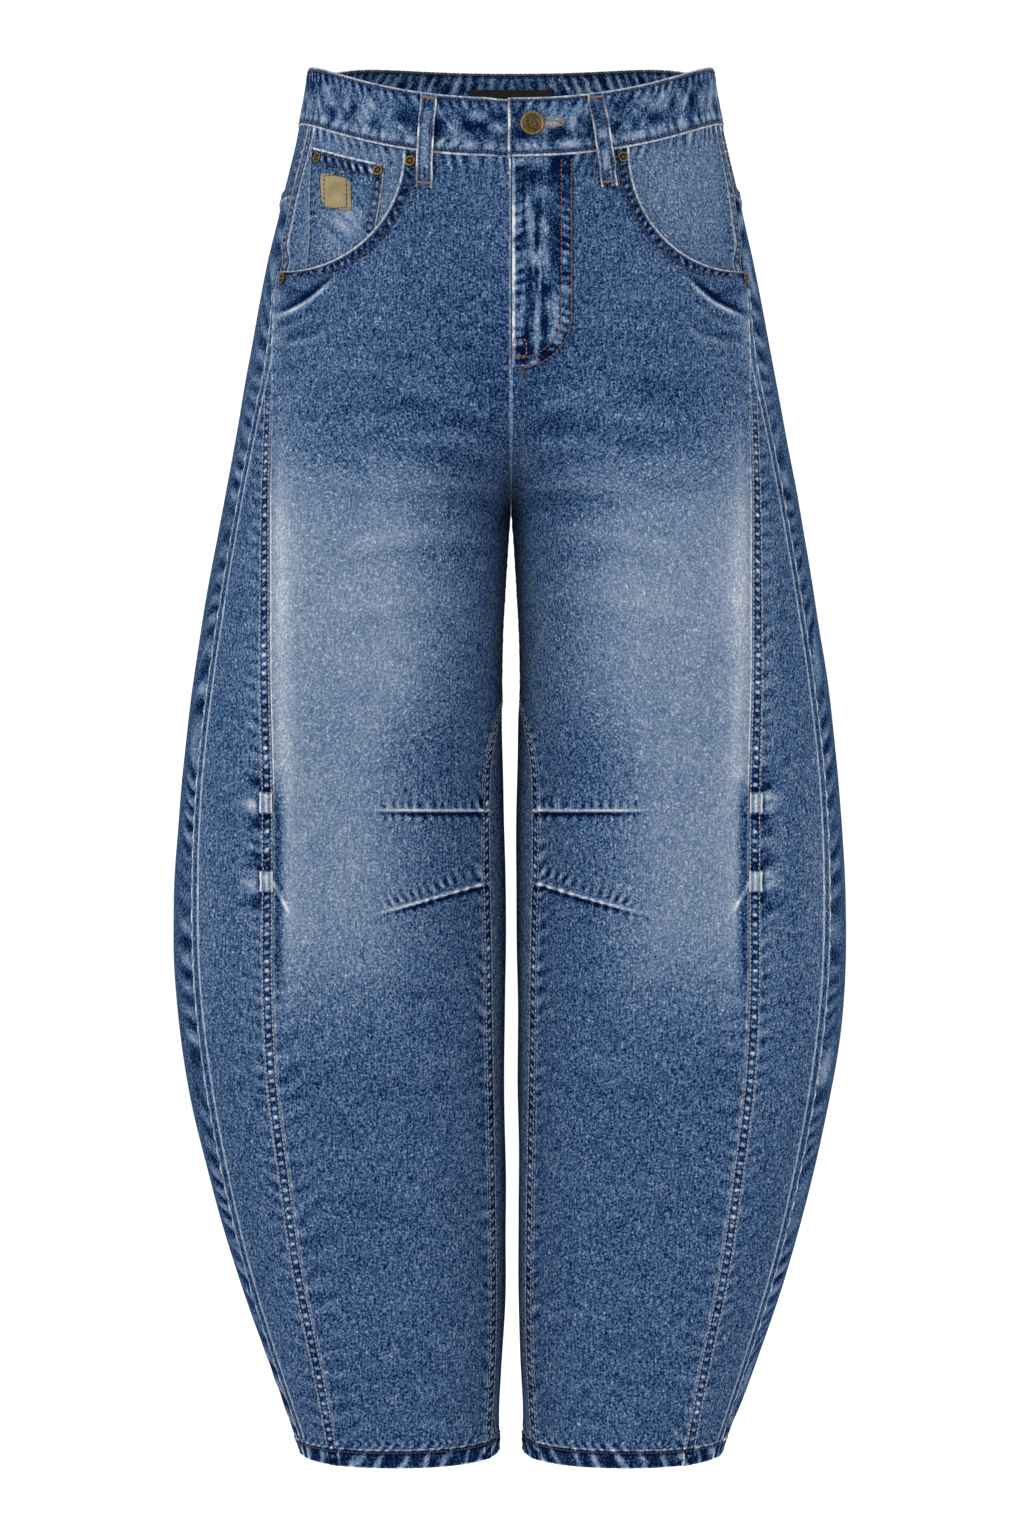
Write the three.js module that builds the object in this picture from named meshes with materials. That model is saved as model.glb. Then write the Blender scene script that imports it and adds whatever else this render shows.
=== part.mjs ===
// Barrel leg jeans, hollow and filled out as they are when worn.
// Millimetres, +Z up. The front faces -Y. The origin is the middle of the waist opening, at the
// height of the waistband's top edge over the hips. Left and right are the wearer's: left is +X.
import * as THREE from 'three';

const { Vector3 } = THREE;

// Driving dimensions
const CLOTH = 2; // wall of a single denim panel
const THIN_CLOTH = 1.2; // wall of a patch, a pocket or a fly laid on a panel
const SEAM_GAP = 0.3;
const LEFT = 1;
const RIGHT = -1;

const CROTCH = -314; // height of the point where the two legs meet
const FRONT_RISE_BEND = 120; // height over which the front crotch seam turns under
const BACK_RISE_BEND = 165;
const RISE_ROUNDNESS = 0.8; // lower makes the bottom of the crotch seam rounder
const WAIST_FRONT_DIP = 38.5; // how far the waist edge drops at the centre front
const WAIST_BACK_LIFT = 19.5;
const BACK_SPREAD = 6; // the higher, the sooner the edge rises from the side to the back
const DIP_REACH = 260; // below the waistband the dip fades to nothing this far down
const WAISTBAND_HEIGHT = 41;
const WAISTBAND_RAISE = 1; // the folded band stands proud of the panels
const HEM = -984;
const HEM_TURNUP = 12;
const FULLNESS = 2.25; // exponent of the rounded section, where 2 is an ellipse
const BAND = 8.5; // width of a double-stitched felled seam
const BAND_RAISE = 0.9;
const POCKET_CORNER = -146; // height where the pocket mouth meets the side seam
const SIDE_PANEL_TIP = -158; // height where the barrel panel starts
const INSEAM_TURN = -442; // below this the inseam comes round to the front

// Form of the garment, one row for each height: half width at the side, then the depths of the
// front, the back and the widest point.
const SECTIONS = [
  { z: 30, side: 143, front: -98, back: 102, widest: 0 },
  { z: 0, side: 144, front: -100, back: 105, widest: 0 },
  { z: -46, side: 152, front: -107, back: 113, widest: 2 },
  { z: -97, side: 164.3, front: -112, back: 124, widest: 5 },
  { z: -166, side: 178.6, front: -115, back: 135, widest: 8 },
  { z: -234, side: 191.8, front: -116, back: 137, widest: 10 },
  { z: -303, side: 204.6, front: -115, back: 127, widest: 10 },
  { z: -371, side: 216.8, front: -112, back: 114, widest: 8 },
  { z: -440, side: 227.1, front: -107, back: 105, widest: 6 },
  { z: -508, side: 234.6, front: -102, back: 98, widest: 4 },
  { z: -577, side: 238.9, front: -97, back: 94, widest: 3 },
  { z: -646, side: 238.2, front: -93, back: 91, widest: 3 },
  { z: -714, side: 231.4, front: -88, back: 89, widest: 4 },
  { z: -783, side: 217.1, front: -83, back: 87, widest: 5 },
  { z: -851, side: 197.9, front: -77, back: 84, widest: 6 },
  { z: -920, side: 174.3, front: -71, back: 81, widest: 7 },
  { z: -984, side: 150.5, front: -66, back: 78, widest: 8 },
];

// Half of the space between the legs.
const LEG_SPACE = [
  { z: -314, half: 0.15 },
  { z: -337, half: 1.8 },
  { z: -371, half: 3.9 },
  { z: -406, half: 5.7 },
  { z: -474, half: 6.4 },
  { z: -577, half: 5 },
  { z: -646, half: 4.2 },
  { z: -851, half: 4.4 },
  { z: -920, half: 6 },
  { z: -984, half: 9 },
];

// How far the seams lie inside the outline of the leg: the front edge of the barrel panel, then
// its back edge.
const SEAM_INSETS = [
  { z: -158, front: 11, outer: 9.5 },
  { z: -205, front: 19, outer: 14.8 },
  { z: -250, front: 29, outer: 15.2 },
  { z: -303, front: 39, outer: 15.4 },
  { z: -371, front: 51.5, outer: 15.4 },
  { z: -440, front: 62, outer: 15 },
  { z: -508, front: 71, outer: 14.6 },
  { z: -577, front: 75.5, outer: 15.6 },
  { z: -646, front: 74.5, outer: 16 },
  { z: -714, front: 70.5, outer: 16.4 },
  { z: -783, front: 64.5, outer: 14.4 },
  { z: -851, front: 54.5, outer: 11 },
  { z: -920, front: 44.5, outer: 8.4 },
  { z: -984, front: 31.5, outer: 6 },
];

// Angle of the inseam from the innermost line of the leg towards the front, in degrees.
const INSEAM_TURNS = [
  { z: -442, angle: 0 },
  { z: -469, angle: 16 },
  { z: -505, angle: 24 },
  { z: -646, angle: 24.5 },
  { z: -900, angle: 22 },
  { z: -984, angle: 26 },
];

const HIP_SEAM_INSET = { [LEFT]: 4.5, [RIGHT]: 9.5 };
const POCKET_TOP_X = { [LEFT]: 81, [RIGHT]: 73.5 };

// Two darts from the inseam shape each knee, and a tuck faces each one across the leg.
const DARTS = [
  { z: -524, length: 71, drop: 0 },
  { z: -578, length: 71, drop: 15 },
];
const TUCKS = [{ z: -521 }, { z: -575 }];
const TUCK_HEIGHT = 14;
const TUCK_RAISE = 1.2;
const DART_RIDGE = 1.1;
const DART_VALLEY = 0.9;

// Heights of the cloth's rows below the pockets
const LEVEL_ROWS = [
  -158, -186, -214, -240, -264, -284, -299, -308, -312, -314, -324, -344, -374, -408, -442, -480,
  -650, -700, -750, -800, -850, -900, -942,
];
const KNEE_ROWS = [-551, -612];

/** Reads a column of a table at a height, on a smooth curve through its rows. */
function along(table, column, z) {
  const last = table.length - 1;
  if (z >= table[0].z) return table[0][column];
  if (z <= table[last].z) return table[last][column];
  const k = table.findIndex((row) => row.z <= z) - 1;
  const slope = (i) => {
    const above = table[Math.max(i - 1, 0)];
    const below = table[Math.min(i + 1, last)];
    return (below[column] - above[column]) / (below.z - above.z);
  };
  const span = table[k + 1].z - table[k].z;
  const t = (z - table[k].z) / span;
  const rise = table[k + 1][column] - table[k][column];
  const startBend = slope(k) * span - rise;
  const endBend = rise - slope(k + 1) * span;
  return table[k][column] + t * rise + t * (1 - t) * ((1 - t) * startBend + t * endBend);
}

const lerp = THREE.MathUtils.lerp;
const radians = THREE.MathUtils.degToRad;
const smoothstep = THREE.MathUtils.smoothstep;
const clamp = THREE.MathUtils.clamp;
const signedPower = (value, power) => Math.sign(value) * Math.abs(value) ** power;

/** The rounded section of one half at a height. Its front and back halves share the sides. */
function section(z, isFront) {
  const side = along(SECTIONS, 'side', z);
  const widest = along(SECTIONS, 'widest', z);
  const depth = isFront
    ? widest - along(SECTIONS, 'front', z)
    : along(SECTIONS, 'back', z) - widest;
  if (z <= CROTCH) {
    const inner = along(LEG_SPACE, 'half', z);
    return { centre: (side + inner) / 2, width: (side - inner) / 2, depth, widest };
  }
  const bend = isFront ? FRONT_RISE_BEND : BACK_RISE_BEND;
  const opened = smoothstep(z, CROTCH, CROTCH + bend) ** RISE_ROUNDNESS;
  const width = side / (2 - opened);
  return { centre: side - width, width, depth, widest };
}

/** Height of a row of cloth at an angle: rows near the waist follow the dip of its edge. */
function rowHeight(level, angle) {
  const fade = clamp((level + DIP_REACH) / (DIP_REACH - WAISTBAND_HEIGHT), 0, 1);
  const across = Math.abs(Math.cos(angle));
  const dip = Math.sin(angle) < 0
    ? -WAIST_FRONT_DIP * (1 - across ** 2)
    : WAIST_BACK_LIFT * (1 - across ** BACK_SPREAD);
  return level + fade * dip;
}

/** A point on the outer face of the cloth. Angle 0 is the side, -90 degrees the front. */
function skinPoint(side, angle, z) {
  const { centre, width, depth, widest } = section(z, Math.sin(angle) < 0);
  const x = centre + width * signedPower(Math.cos(angle), 2 / FULLNESS);
  const y = widest + depth * signedPower(Math.sin(angle), 2 / FULLNESS);
  return new Vector3(side * x, y, z);
}

/** How far outside the section a point is: 1 lies on it. */
function sectionField(side, point, z) {
  const { centre, width, depth, widest } = section(z, point.y < along(SECTIONS, 'widest', z));
  const across = Math.abs((side * point.x - centre) / width) ** FULLNESS;
  return across + Math.abs((point.y - widest) / depth) ** FULLNESS;
}

/** The direction out of the cloth at a point of the skin. */
function skinNormal(side, point) {
  const step = 0.4;
  const slope = (dx, dy, dz) => {
    const ahead = new Vector3(point.x + dx, point.y + dy, point.z);
    const behind = new Vector3(point.x - dx, point.y - dy, point.z);
    return sectionField(side, ahead, point.z + dz) - sectionField(side, behind, point.z - dz);
  };
  return new Vector3(slope(step, 0, 0), slope(0, step, 0), slope(0, 0, step)).normalize();
}

/** Angle at which a row crosses a distance x from the middle plane. */
function angleAt(x, level, isFront) {
  const sign = isFront ? -1 : 1;
  let angle = (sign * Math.PI) / 2;
  for (let pass = 0; pass < 6; pass += 1) {
    const { centre, width } = section(rowHeight(level, angle), isFront);
    const across = clamp((x - centre) / width, -1, 1);
    angle = sign * Math.acos(signedPower(across, FULLNESS / 2));
  }
  return angle;
}

// Seams, each as the angle where a row of a given level crosses it
const centreFront = (level) => angleAt(SEAM_GAP / 2, level, true);
const centreBack = (level) => angleAt(SEAM_GAP / 2, level, false);
const seamX = (level, inset) => along(SECTIONS, 'side', level) - inset;

function inset(side, column, level) {
  const tip = SEAM_INSETS[0];
  if (level <= tip.z) return along(SEAM_INSETS, column, level);
  return lerp(tip[column], HIP_SEAM_INSET[side], smoothstep(level, tip.z, -41));
}

const frontSeam = (side) => (level) => angleAt(seamX(level, inset(side, 'front', level)), level, true);
const outerSeam = (side) => (level) => angleAt(seamX(level, inset(side, 'outer', level)), level, true);
const inseamTurn = (level) => radians(Math.max(0, along(INSEAM_TURNS, 'angle', level)));
const innerFront = (level) => (level > CROTCH ? centreFront(level) : -Math.PI + inseamTurn(level));
const innerBack = (level) => (level > CROTCH ? centreBack(level) : Math.PI + inseamTurn(level));

const TRACE_STEPS = 72;
const BEND_WEIGHT = 60; // millimetres of length that a bend of one radian counts for

/** Follows a row in small steps: the distance run, and a measure that also counts its bend. */
function traceRow(side, row) {
  const trace = [];
  for (let i = 0; i <= TRACE_STEPS; i += 1) {
    const share = i / TRACE_STEPS;
    const angle = lerp(row.from, row.to, share);
    const point = skinPoint(side, angle, rowHeight(row.level(share), angle));
    const knot = { point, step: new Vector3(), run: 0, measure: 0 };
    if (i > 0) {
      const last = trace[i - 1];
      knot.step.subVectors(point, last.point);
      const length = knot.step.length();
      const bend = i > 1 && length > 0 ? knot.step.angleTo(last.step) : 0;
      knot.run = last.run + length;
      knot.measure = last.measure + length + BEND_WEIGHT * bend;
    }
    trace.push(knot);
  }
  return trace;
}

/** Where a value falls in a rising column of a trace, as a step and a share of it. */
function findInTrace(trace, column, value) {
  let step = trace.findIndex((knot) => knot[column] >= value) - 1;
  if (step < 0) step = trace[TRACE_STEPS][column] <= value ? TRACE_STEPS - 1 : 0;
  const from = trace[step][column];
  return step + (value - from) / (trace[step + 1][column] - from || 1);
}

function readTrace(trace, column, position) {
  const step = Math.min(TRACE_STEPS - 1, Math.max(0, Math.floor(position)));
  return lerp(trace[step][column], trace[step + 1][column], position - step);
}

/** Samples one row between two angles, at distances given along it, with its ends trimmed. */
function sampleRow(side, row, place) {
  const trace = traceRow(side, row);
  const start = row.trimStart ?? SEAM_GAP / 2;
  const length = trace[TRACE_STEPS].run - start - (row.trimEnd ?? SEAM_GAP / 2);
  const measureAt = (distance) => readTrace(trace, 'measure', findInTrace(trace, 'run', start + distance));
  const between = (a, b, share) => {
    const measure = lerp(measureAt(a), measureAt(b), share);
    return readTrace(trace, 'run', findInTrace(trace, 'measure', measure)) - start;
  };
  return place(length, between).map((distance) => {
    const share = findInTrace(trace, 'run', start + distance) / TRACE_STEPS;
    const angle = lerp(row.from, row.to, share);
    const level = row.level(share);
    const point = skinPoint(side, angle, rowHeight(level, angle));
    return { point, normal: skinNormal(side, point), distance, length };
  });
}

/** Distances of the columns of a row: at the edges of its raised bands, and evenly between. */
function columns(count, { startBand = 0, endBand = 0 } = {}) {
  return (length, between) => {
    const room = length * 0.7;
    const head = startBand ? [0, Math.min(startBand, room * 0.4), Math.min(startBand + 1, room * 0.5)] : [0];
    const tail = endBand ? [Math.min(endBand + 1, room * 0.5), Math.min(endBand, room * 0.4), 0] : [0];
    const first = head[head.length - 1];
    const last = length - tail[0];
    const middle = [];
    for (let i = 1; i < count; i += 1) middle.push(between(first, last, i / count));
    return [...head, ...middle, ...tail.map((d) => length - d)];
  };
}

/** A closed wall of cloth from a grid of skin points, between two distances from the skin. */
function wall(side, grid, inner, outer, crossesMiddle = false) {
  const rows = grid.length;
  const cols = grid[0].length;
  const positions = [];
  const layer = (offsetOf) => {
    grid.forEach((row, r) => row.forEach((spot, c) => {
      const moved = spot.point.clone().addScaledVector(spot.normal, offsetOf(spot, r, c));
      if (!crossesMiddle) moved.x = side * Math.max(side * moved.x, SEAM_GAP / 2);
      positions.push(moved.x, moved.y, moved.z);
    }));
  };
  layer((spot) => outer + (spot.lift ?? 0) + (spot.shift ?? 0));
  layer((spot) => inner + (spot.shift ?? 0));
  const at = (r, c) => r * cols + c;
  const under = rows * cols;
  const index = [];
  const quad = (a, b, c, d) => (side === LEFT
    ? index.push(a, b, c, a, c, d)
    : index.push(c, b, a, d, c, a));
  for (let r = 0; r < rows - 1; r += 1) {
    for (let c = 0; c < cols - 1; c += 1) {
      quad(at(r, c), at(r + 1, c), at(r + 1, c + 1), at(r, c + 1));
      quad(under + at(r, c), under + at(r, c + 1), under + at(r + 1, c + 1), under + at(r + 1, c));
    }
  }
  const rim = [];
  for (let c = 0; c < cols - 1; c += 1) rim.push(at(0, c));
  for (let r = 0; r < rows - 1; r += 1) rim.push(at(r, cols - 1));
  for (let c = cols - 1; c > 0; c -= 1) rim.push(at(rows - 1, c));
  for (let r = rows - 1; r > 0; r -= 1) rim.push(at(r, 0));
  rim.forEach((a, i) => {
    const b = rim[(i + 1) % rim.length];
    quad(a, b, under + b, under + a);
  });
  const geometry = new THREE.BufferGeometry();
  geometry.setAttribute('position', new THREE.Float32BufferAttribute(positions, 3));
  geometry.setIndex(index);
  geometry.computeVertexNormals();
  return geometry;
}

const SIDE_NAMES = { [LEFT]: 'left', [RIGHT]: 'right' };
const denim = new THREE.MeshStandardMaterial({ color: 0x4d6d9c, roughness: 0.9 });
const denimDark = new THREE.MeshStandardMaterial({ color: 0x3a5785, roughness: 0.9 });
const brass = new THREE.MeshStandardMaterial({ color: 0x7a6234, roughness: 0.45, metalness: 0.9 });
const tanPatch = new THREE.MeshStandardMaterial({ color: 0x958560, roughness: 0.7 });
const labelCloth = new THREE.MeshStandardMaterial({ color: 0x14120f, roughness: 0.8 });

function part(name, geometry, material) {
  const mesh = new THREE.Mesh(geometry, material);
  mesh.name = name;
  return mesh;
}

/** The rows of a panel below the pockets: level, between two seams. */
function levelRows(heights, from, to) {
  return heights.map((z) => ({ z, level: () => z, from: from(z), to: to(z) }));
}

const HEM_ROWS = [HEM + HEM_TURNUP + 1, HEM + HEM_TURNUP, HEM];
const sorted = (heights) => [...heights].sort((a, b) => b - a);
const hemRaise = (z) => (z <= HEM + HEM_TURNUP ? BAND_RAISE : 0);

/** The pocket mouth, from the waist seam to the side seam, for a share of the way down. */
function pocketMouth(side, share) {
  const top = -WAISTBAND_HEIGHT - SEAM_GAP;
  const turn = (share * Math.PI) / 2;
  const cornerX = seamX(POCKET_CORNER, inset(side, 'front', POCKET_CORNER));
  const x = lerp(POCKET_TOP_X[side], cornerX, 1 - Math.cos(turn));
  const level = lerp(top, POCKET_CORNER, Math.sin(turn));
  return { x, level, angle: angleAt(x, level, true) };
}

/** Front of one leg, with the pocket mouth cut out, knee darts and a raised inseam. */
function frontPanel(side) {
  const top = -WAISTBAND_HEIGHT - SEAM_GAP;
  const mouthRows = 9;
  const rows = [];
  for (let i = 0; i < mouthRows; i += 1) {
    const share = i / mouthRows;
    const mouth = pocketMouth(side, share);
    const start = lerp(top, POCKET_CORNER, share);
    rows.push({
      z: start,
      mouth: true,
      level: (f) => lerp(start, mouth.level, f),
      from: centreFront(start),
      to: mouth.angle,
      trimStart: 0,
    });
  }
  const kneeRows = DARTS.flatMap((dart) => [dart.z + 7, dart.z + 0.9, dart.z - 0.9, dart.z - 7]);
  const heights = sorted([POCKET_CORNER, ...LEVEL_ROWS, ...KNEE_ROWS, ...kneeRows, ...HEM_ROWS]);
  const lower = levelRows(heights, innerFront, frontSeam(side));
  lower.forEach((row) => {
    if (row.z > CROTCH) row.trimStart = 0;
  });
  rows.push(...lower);
  const grid = rows.map((row) => {
    const nearDart = DARTS.map((dart) => ({ dart, reach: Math.abs(row.z - dart.z) }))
      .sort((a, b) => a.reach - b.reach)[0];
    const drop = nearDart.dart.drop * (1 - smoothstep(nearDart.reach, 8, 34));
    const base = row.level;
    if (drop > 0) {
      row.level = (f) => base(f) - drop * smoothstep(f, 0, 0.35) * (1 - smoothstep(f, 0.45, 0.95));
    }
    const spots = sampleRow(side, row, columns(10, { startBand: BAND, endBand: BAND }));
    spots.forEach((spot) => {
      const fromEnd = spot.length - spot.distance;
      let lift = hemRaise(row.z);
      if (row.z < INSEAM_TURN && spot.distance <= BAND) lift = BAND_RAISE;
      if ((row.mouth || row.z === POCKET_CORNER) && fromEnd <= BAND) lift = BAND_RAISE * 0.6;
      if (nearDart.reach < 2 && spot.distance < nearDart.dart.length) {
        const fade = 1 - smoothstep(spot.distance, nearDart.dart.length * 0.5, nearDart.dart.length);
        lift += (row.z > nearDart.dart.z ? DART_RIDGE : -DART_VALLEY) * fade;
      }
      spot.lift = lift;
    });
    return spots;
  });
  return part(`front_${SIDE_NAMES[side]}`, wall(side, grid, -CLOTH, 0), denim);
}

/** The lens-shaped panel down the outside of the leg, with its felled seam and tucks. */
function barrelPanel(side) {
  const tuckRows = TUCKS.flatMap(({ z }) => [z + TUCK_HEIGHT / 2 + 1, z + TUCK_HEIGHT / 2,
    z - TUCK_HEIGHT / 2, z - TUCK_HEIGHT / 2 - 1]);
  const heights = sorted([...LEVEL_ROWS, -548, -610, ...tuckRows, ...HEM_ROWS]);
  const grid = levelRows(heights, frontSeam(side), outerSeam(side)).map((row) => {
    const spots = sampleRow(side, row, columns(2, { startBand: BAND }));
    const inTuck = TUCKS.some(({ z }) => Math.abs(row.z - z) <= TUCK_HEIGHT / 2);
    spots.forEach((spot) => {
      const onBand = spot.distance <= Math.min(BAND, spot.length * 0.4);
      spot.lift = Math.max(hemRaise(row.z), onBand ? BAND_RAISE + (inTuck ? TUCK_RAISE : 0) : 0);
    });
    return spots;
  });
  return part(`barrel_side_${SIDE_NAMES[side]}`, wall(side, grid, -CLOTH, 0), denim);
}

const YOKE_SIDE = -92; // level of the yoke seam at the side, then at the centre back
const YOKE_CENTRE = -124;
const yokeSeam = (share) => lerp(YOKE_SIDE, YOKE_CENTRE, share);
const sideJoin = (side) => (level) => outerSeam(side)(level);

/** Rows that run from the side seam to the centre back, between two slanting levels. */
function backRow(side, level) {
  return {
    z: level(0),
    level,
    from: sideJoin(side)(level(0)),
    to: centreBack(level(1)),
    trimEnd: 0,
  };
}

/** The shaped piece between the waistband and the back panel. */
function yoke(side) {
  const top = -WAISTBAND_HEIGHT - SEAM_GAP * 2;
  const seam = (f) => yokeSeam(f) + SEAM_GAP / 2;
  const shares = [0, 0.25, 0.5];
  const levels = shares.map((t) => (f) => lerp(top, seam(f), t));
  levels.push((f) => seam(f) + BAND + 1, (f) => seam(f) + BAND, seam);
  const grid = levels.map((level, r) => {
    const spots = sampleRow(side, backRow(side, level), columns(11, { startBand: BAND }));
    spots.forEach((spot) => {
      const onBand = r >= 4 || spot.distance <= BAND;
      spot.lift = onBand ? BAND_RAISE : 0;
    });
    return spots;
  });
  return part(`yoke_${SIDE_NAMES[side]}`, wall(side, grid, -CLOTH, 0), denim);
}

/** Back of one leg, from the yoke to the hem. */
function backPanel(side) {
  const seam = (f) => yokeSeam(f) - SEAM_GAP / 2;
  const rows = [0, 0.35, 0.7].map((t) => backRow(side, (f) => lerp(seam(f), SIDE_PANEL_TIP, t)));
  const heights = sorted([...LEVEL_ROWS, -523, -565, -607, ...HEM_ROWS]);
  const lower = levelRows(heights, outerSeam(side), innerBack);
  lower.forEach((row) => {
    if (row.z > CROTCH) row.trimEnd = 0;
  });
  const grid = [...rows, ...lower].map((row) => {
    const spots = sampleRow(side, row, columns(11, { endBand: BAND }));
    spots.forEach((spot) => {
      const onBand = row.z > CROTCH && spot.length - spot.distance <= BAND;
      spot.lift = Math.max(hemRaise(row.z), onBand ? BAND_RAISE : 0);
    });
    return spots;
  });
  return part(`back_${SIDE_NAMES[side]}`, wall(side, grid, -CLOTH, 0), denim);
}

const FACING_WALL = 1.4;
const FACING_SINK = 2.5; // how deep the pocket facing lies under the edge of the front
const FACING_SAG = 2.6; // and how much further where the mouth stands open
const FACING_UNDERLAP = 12;

/** Depth of the facing below the skin: level with it at the seams, and under the front panel. */
function facingShift(side, x, level) {
  const cornerX = seamX(POCKET_CORNER, inset(side, 'front', POCKET_CORNER));
  const across = Math.max(0, (cornerX - x) / (cornerX - POCKET_TOP_X[side]));
  const down = (-WAISTBAND_HEIGHT - level) / (-WAISTBAND_HEIGHT - POCKET_CORNER);
  const towardMouth = smoothstep(Math.hypot(across, down), 0.35, 0.85);
  const turn = Math.atan2(down, across);
  const open = smoothstep(turn, radians(4), radians(30)) * (1 - smoothstep(turn, radians(86), radians(91)));
  return -(FACING_SINK + FACING_SAG * open) * towardMouth;
}

/** Points of a pocket facing at one level, between two distances from the middle. */
function facingRow(side, level, innerX, outerX, place) {
  const row = { level: () => level, from: angleAt(innerX, level, true), to: angleAt(outerX, level, true) };
  const spots = sampleRow(side, row, place);
  spots.forEach((spot) => {
    spot.shift = facingShift(side, Math.abs(spot.point.x), level);
  });
  return spots;
}

function pocketFacing(side) {
  const top = -WAISTBAND_HEIGHT - SEAM_GAP;
  const cornerX = seamX(POCKET_CORNER, inset(side, 'front', POCKET_CORNER));
  const reachX = cornerX - POCKET_TOP_X[side] + FACING_UNDERLAP;
  const reachDown = top - POCKET_CORNER + FACING_UNDERLAP;
  const levels = [top, -54, -66.6, -79, -92, -104, -115, -127, -138, -147, -154];
  const grid = levels.map((level) => {
    const share = (top - level) / reachDown;
    const innerX = cornerX - reachX * Math.sqrt(1 - share ** 2);
    const outerX = seamX(level, inset(side, 'outer', level));
    return facingRow(side, level, innerX, outerX, columns(8));
  });
  return part(`pocket_facing_${SIDE_NAMES[side]}`, wall(side, grid, -FACING_WALL, 0), denim);
}

const LAID_GAP = 0.35; // between a panel and what is laid on it
const COIN_WALL = 1;
const COIN_POCKET = {
  top: -55.2, bottom: -147.4, outerTop: 138, outerBottom: 146, innerTop: 87, innerBottom: 101,
};

function coinPocket() {
  const shares = [0, 0.08, 0.1, 0.25, 0.4, 0.55, 0.7, 0.85, 1];
  const grid = shares.map((share) => {
    const level = lerp(COIN_POCKET.top, COIN_POCKET.bottom, share);
    const innerX = lerp(COIN_POCKET.innerTop, COIN_POCKET.innerBottom, share);
    const outerX = lerp(COIN_POCKET.outerTop, COIN_POCKET.outerBottom, share);
    return facingRow(RIGHT, level, innerX, outerX, columns(6));
  });
  return part('coin_pocket', wall(RIGHT, grid, LAID_GAP, LAID_GAP + COIN_WALL), denim);
}

const PATCH = { x: 121.5, level: -83.5, width: 20, height: 24, wall: 0.8, corner: 4 };

/** A plain patch with rounded corners on the coin pocket. */
function patch() {
  const shares = [-1, -0.93, -0.8, 0, 0.8, 0.93, 1];
  const base = LAID_GAP * 2 + COIN_WALL;
  const grid = shares.map((share) => {
    const level = PATCH.level - (share * PATCH.height) / 2;
    const rise = Math.max(0, Math.abs(share) * (PATCH.height / 2) - PATCH.height / 2 + PATCH.corner);
    const cut = PATCH.corner - Math.sqrt(PATCH.corner ** 2 - rise ** 2);
    const half = PATCH.width / 2 - cut * 0.85;
    return facingRow(RIGHT, level, PATCH.x - half, PATCH.x + half, columns(4));
  });
  return part('patch', wall(RIGHT, grid, base, base + PATCH.wall), tanPatch);
}

const FLY = { width: 41, edge: 0.8, turn: -174, bottom: -217, gap: 0.45 };

/** The fly: a layer laid on the wearer's left front, straight down and then curved to the middle. */
function fly() {
  const top = -WAISTBAND_HEIGHT - SEAM_GAP * 2;
  const levels = [top, -75, -108, -141, FLY.turn, -185, -196, -204, -210, -214.5];
  const grid = levels.map((level) => {
    const turned = Math.max(0, (FLY.turn - level) / (FLY.turn - FLY.bottom));
    const outerX = FLY.edge + 1 + (FLY.width - 1) * Math.sqrt(1 - turned ** 2);
    const row = {
      level: () => level,
      from: angleAt(FLY.edge, level, true),
      to: angleAt(outerX, level, true),
      trimStart: 0,
      trimEnd: 0,
    };
    return sampleRow(LEFT, row, columns(5));
  });
  return part('fly', wall(LEFT, grid, FLY.gap, FLY.gap + THIN_CLOTH), denim);
}

const BAND_OVERLAP = { topEnd: -2, underEnd: 38, clearance: 0.5, easeOut: 16 };

/** One half of the waistband. At the front the left half buttons over the right one. */
function waistband(side) {
  const endX = side === LEFT ? BAND_OVERLAP.topEnd : -BAND_OVERLAP.underEnd;
  const levels = [0, -13, -28, -WAISTBAND_HEIGHT];
  const thickness = CLOTH + WAISTBAND_RAISE;
  const reach = BAND_OVERLAP.underEnd - BAND_OVERLAP.topEnd + 2;
  const place = (length, between) => {
    const head = [0, 14, 28, reach, reach + BAND_OVERLAP.easeOut / 2, reach + BAND_OVERLAP.easeOut];
    const rest = 17;
    for (let i = 1; i <= rest; i += 1) head.push(between(reach + BAND_OVERLAP.easeOut, length, i / rest));
    return head;
  };
  const grid = levels.map((level) => {
    const row = {
      level: () => level,
      from: angleAt(endX, level, true),
      to: centreBack(level),
      trimStart: 0,
      trimEnd: 0,
    };
    const spots = sampleRow(side, row, place);
    spots.forEach((spot) => {
      const under = 1 - smoothstep(spot.distance, reach, reach + BAND_OVERLAP.easeOut);
      spot.shift = side === RIGHT ? -(thickness + BAND_OVERLAP.clearance) * under : 0;
    });
    return spots;
  });
  const geometry = wall(side, grid, -CLOTH, WAISTBAND_RAISE, true);
  return part(`waistband_${SIDE_NAMES[side]}`, geometry, denimDark);
}

const LOOP = { width: 11, wall: 1.6, top: -1.5, bottom: -70.5, lie: 0.4, bow: 3.2 };

// Belt loops: distance from the middle at the top and the bottom, and the side of the body.
const BELT_LOOPS = [
  { name: 'belt_loop_front_left', side: LEFT, front: true, topX: 57.3, bottomX: 67 },
  { name: 'belt_loop_front_right', side: RIGHT, front: true, topX: 55.7, bottomX: 59 },
  { name: 'belt_loop_back_left', side: LEFT, front: false, topX: 92, bottomX: 97 },
  { name: 'belt_loop_back_right', side: RIGHT, front: false, topX: 92, bottomX: 97 },
  { name: 'belt_loop_back_middle', side: LEFT, front: false, topX: 0, bottomX: 0 },
];

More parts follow.
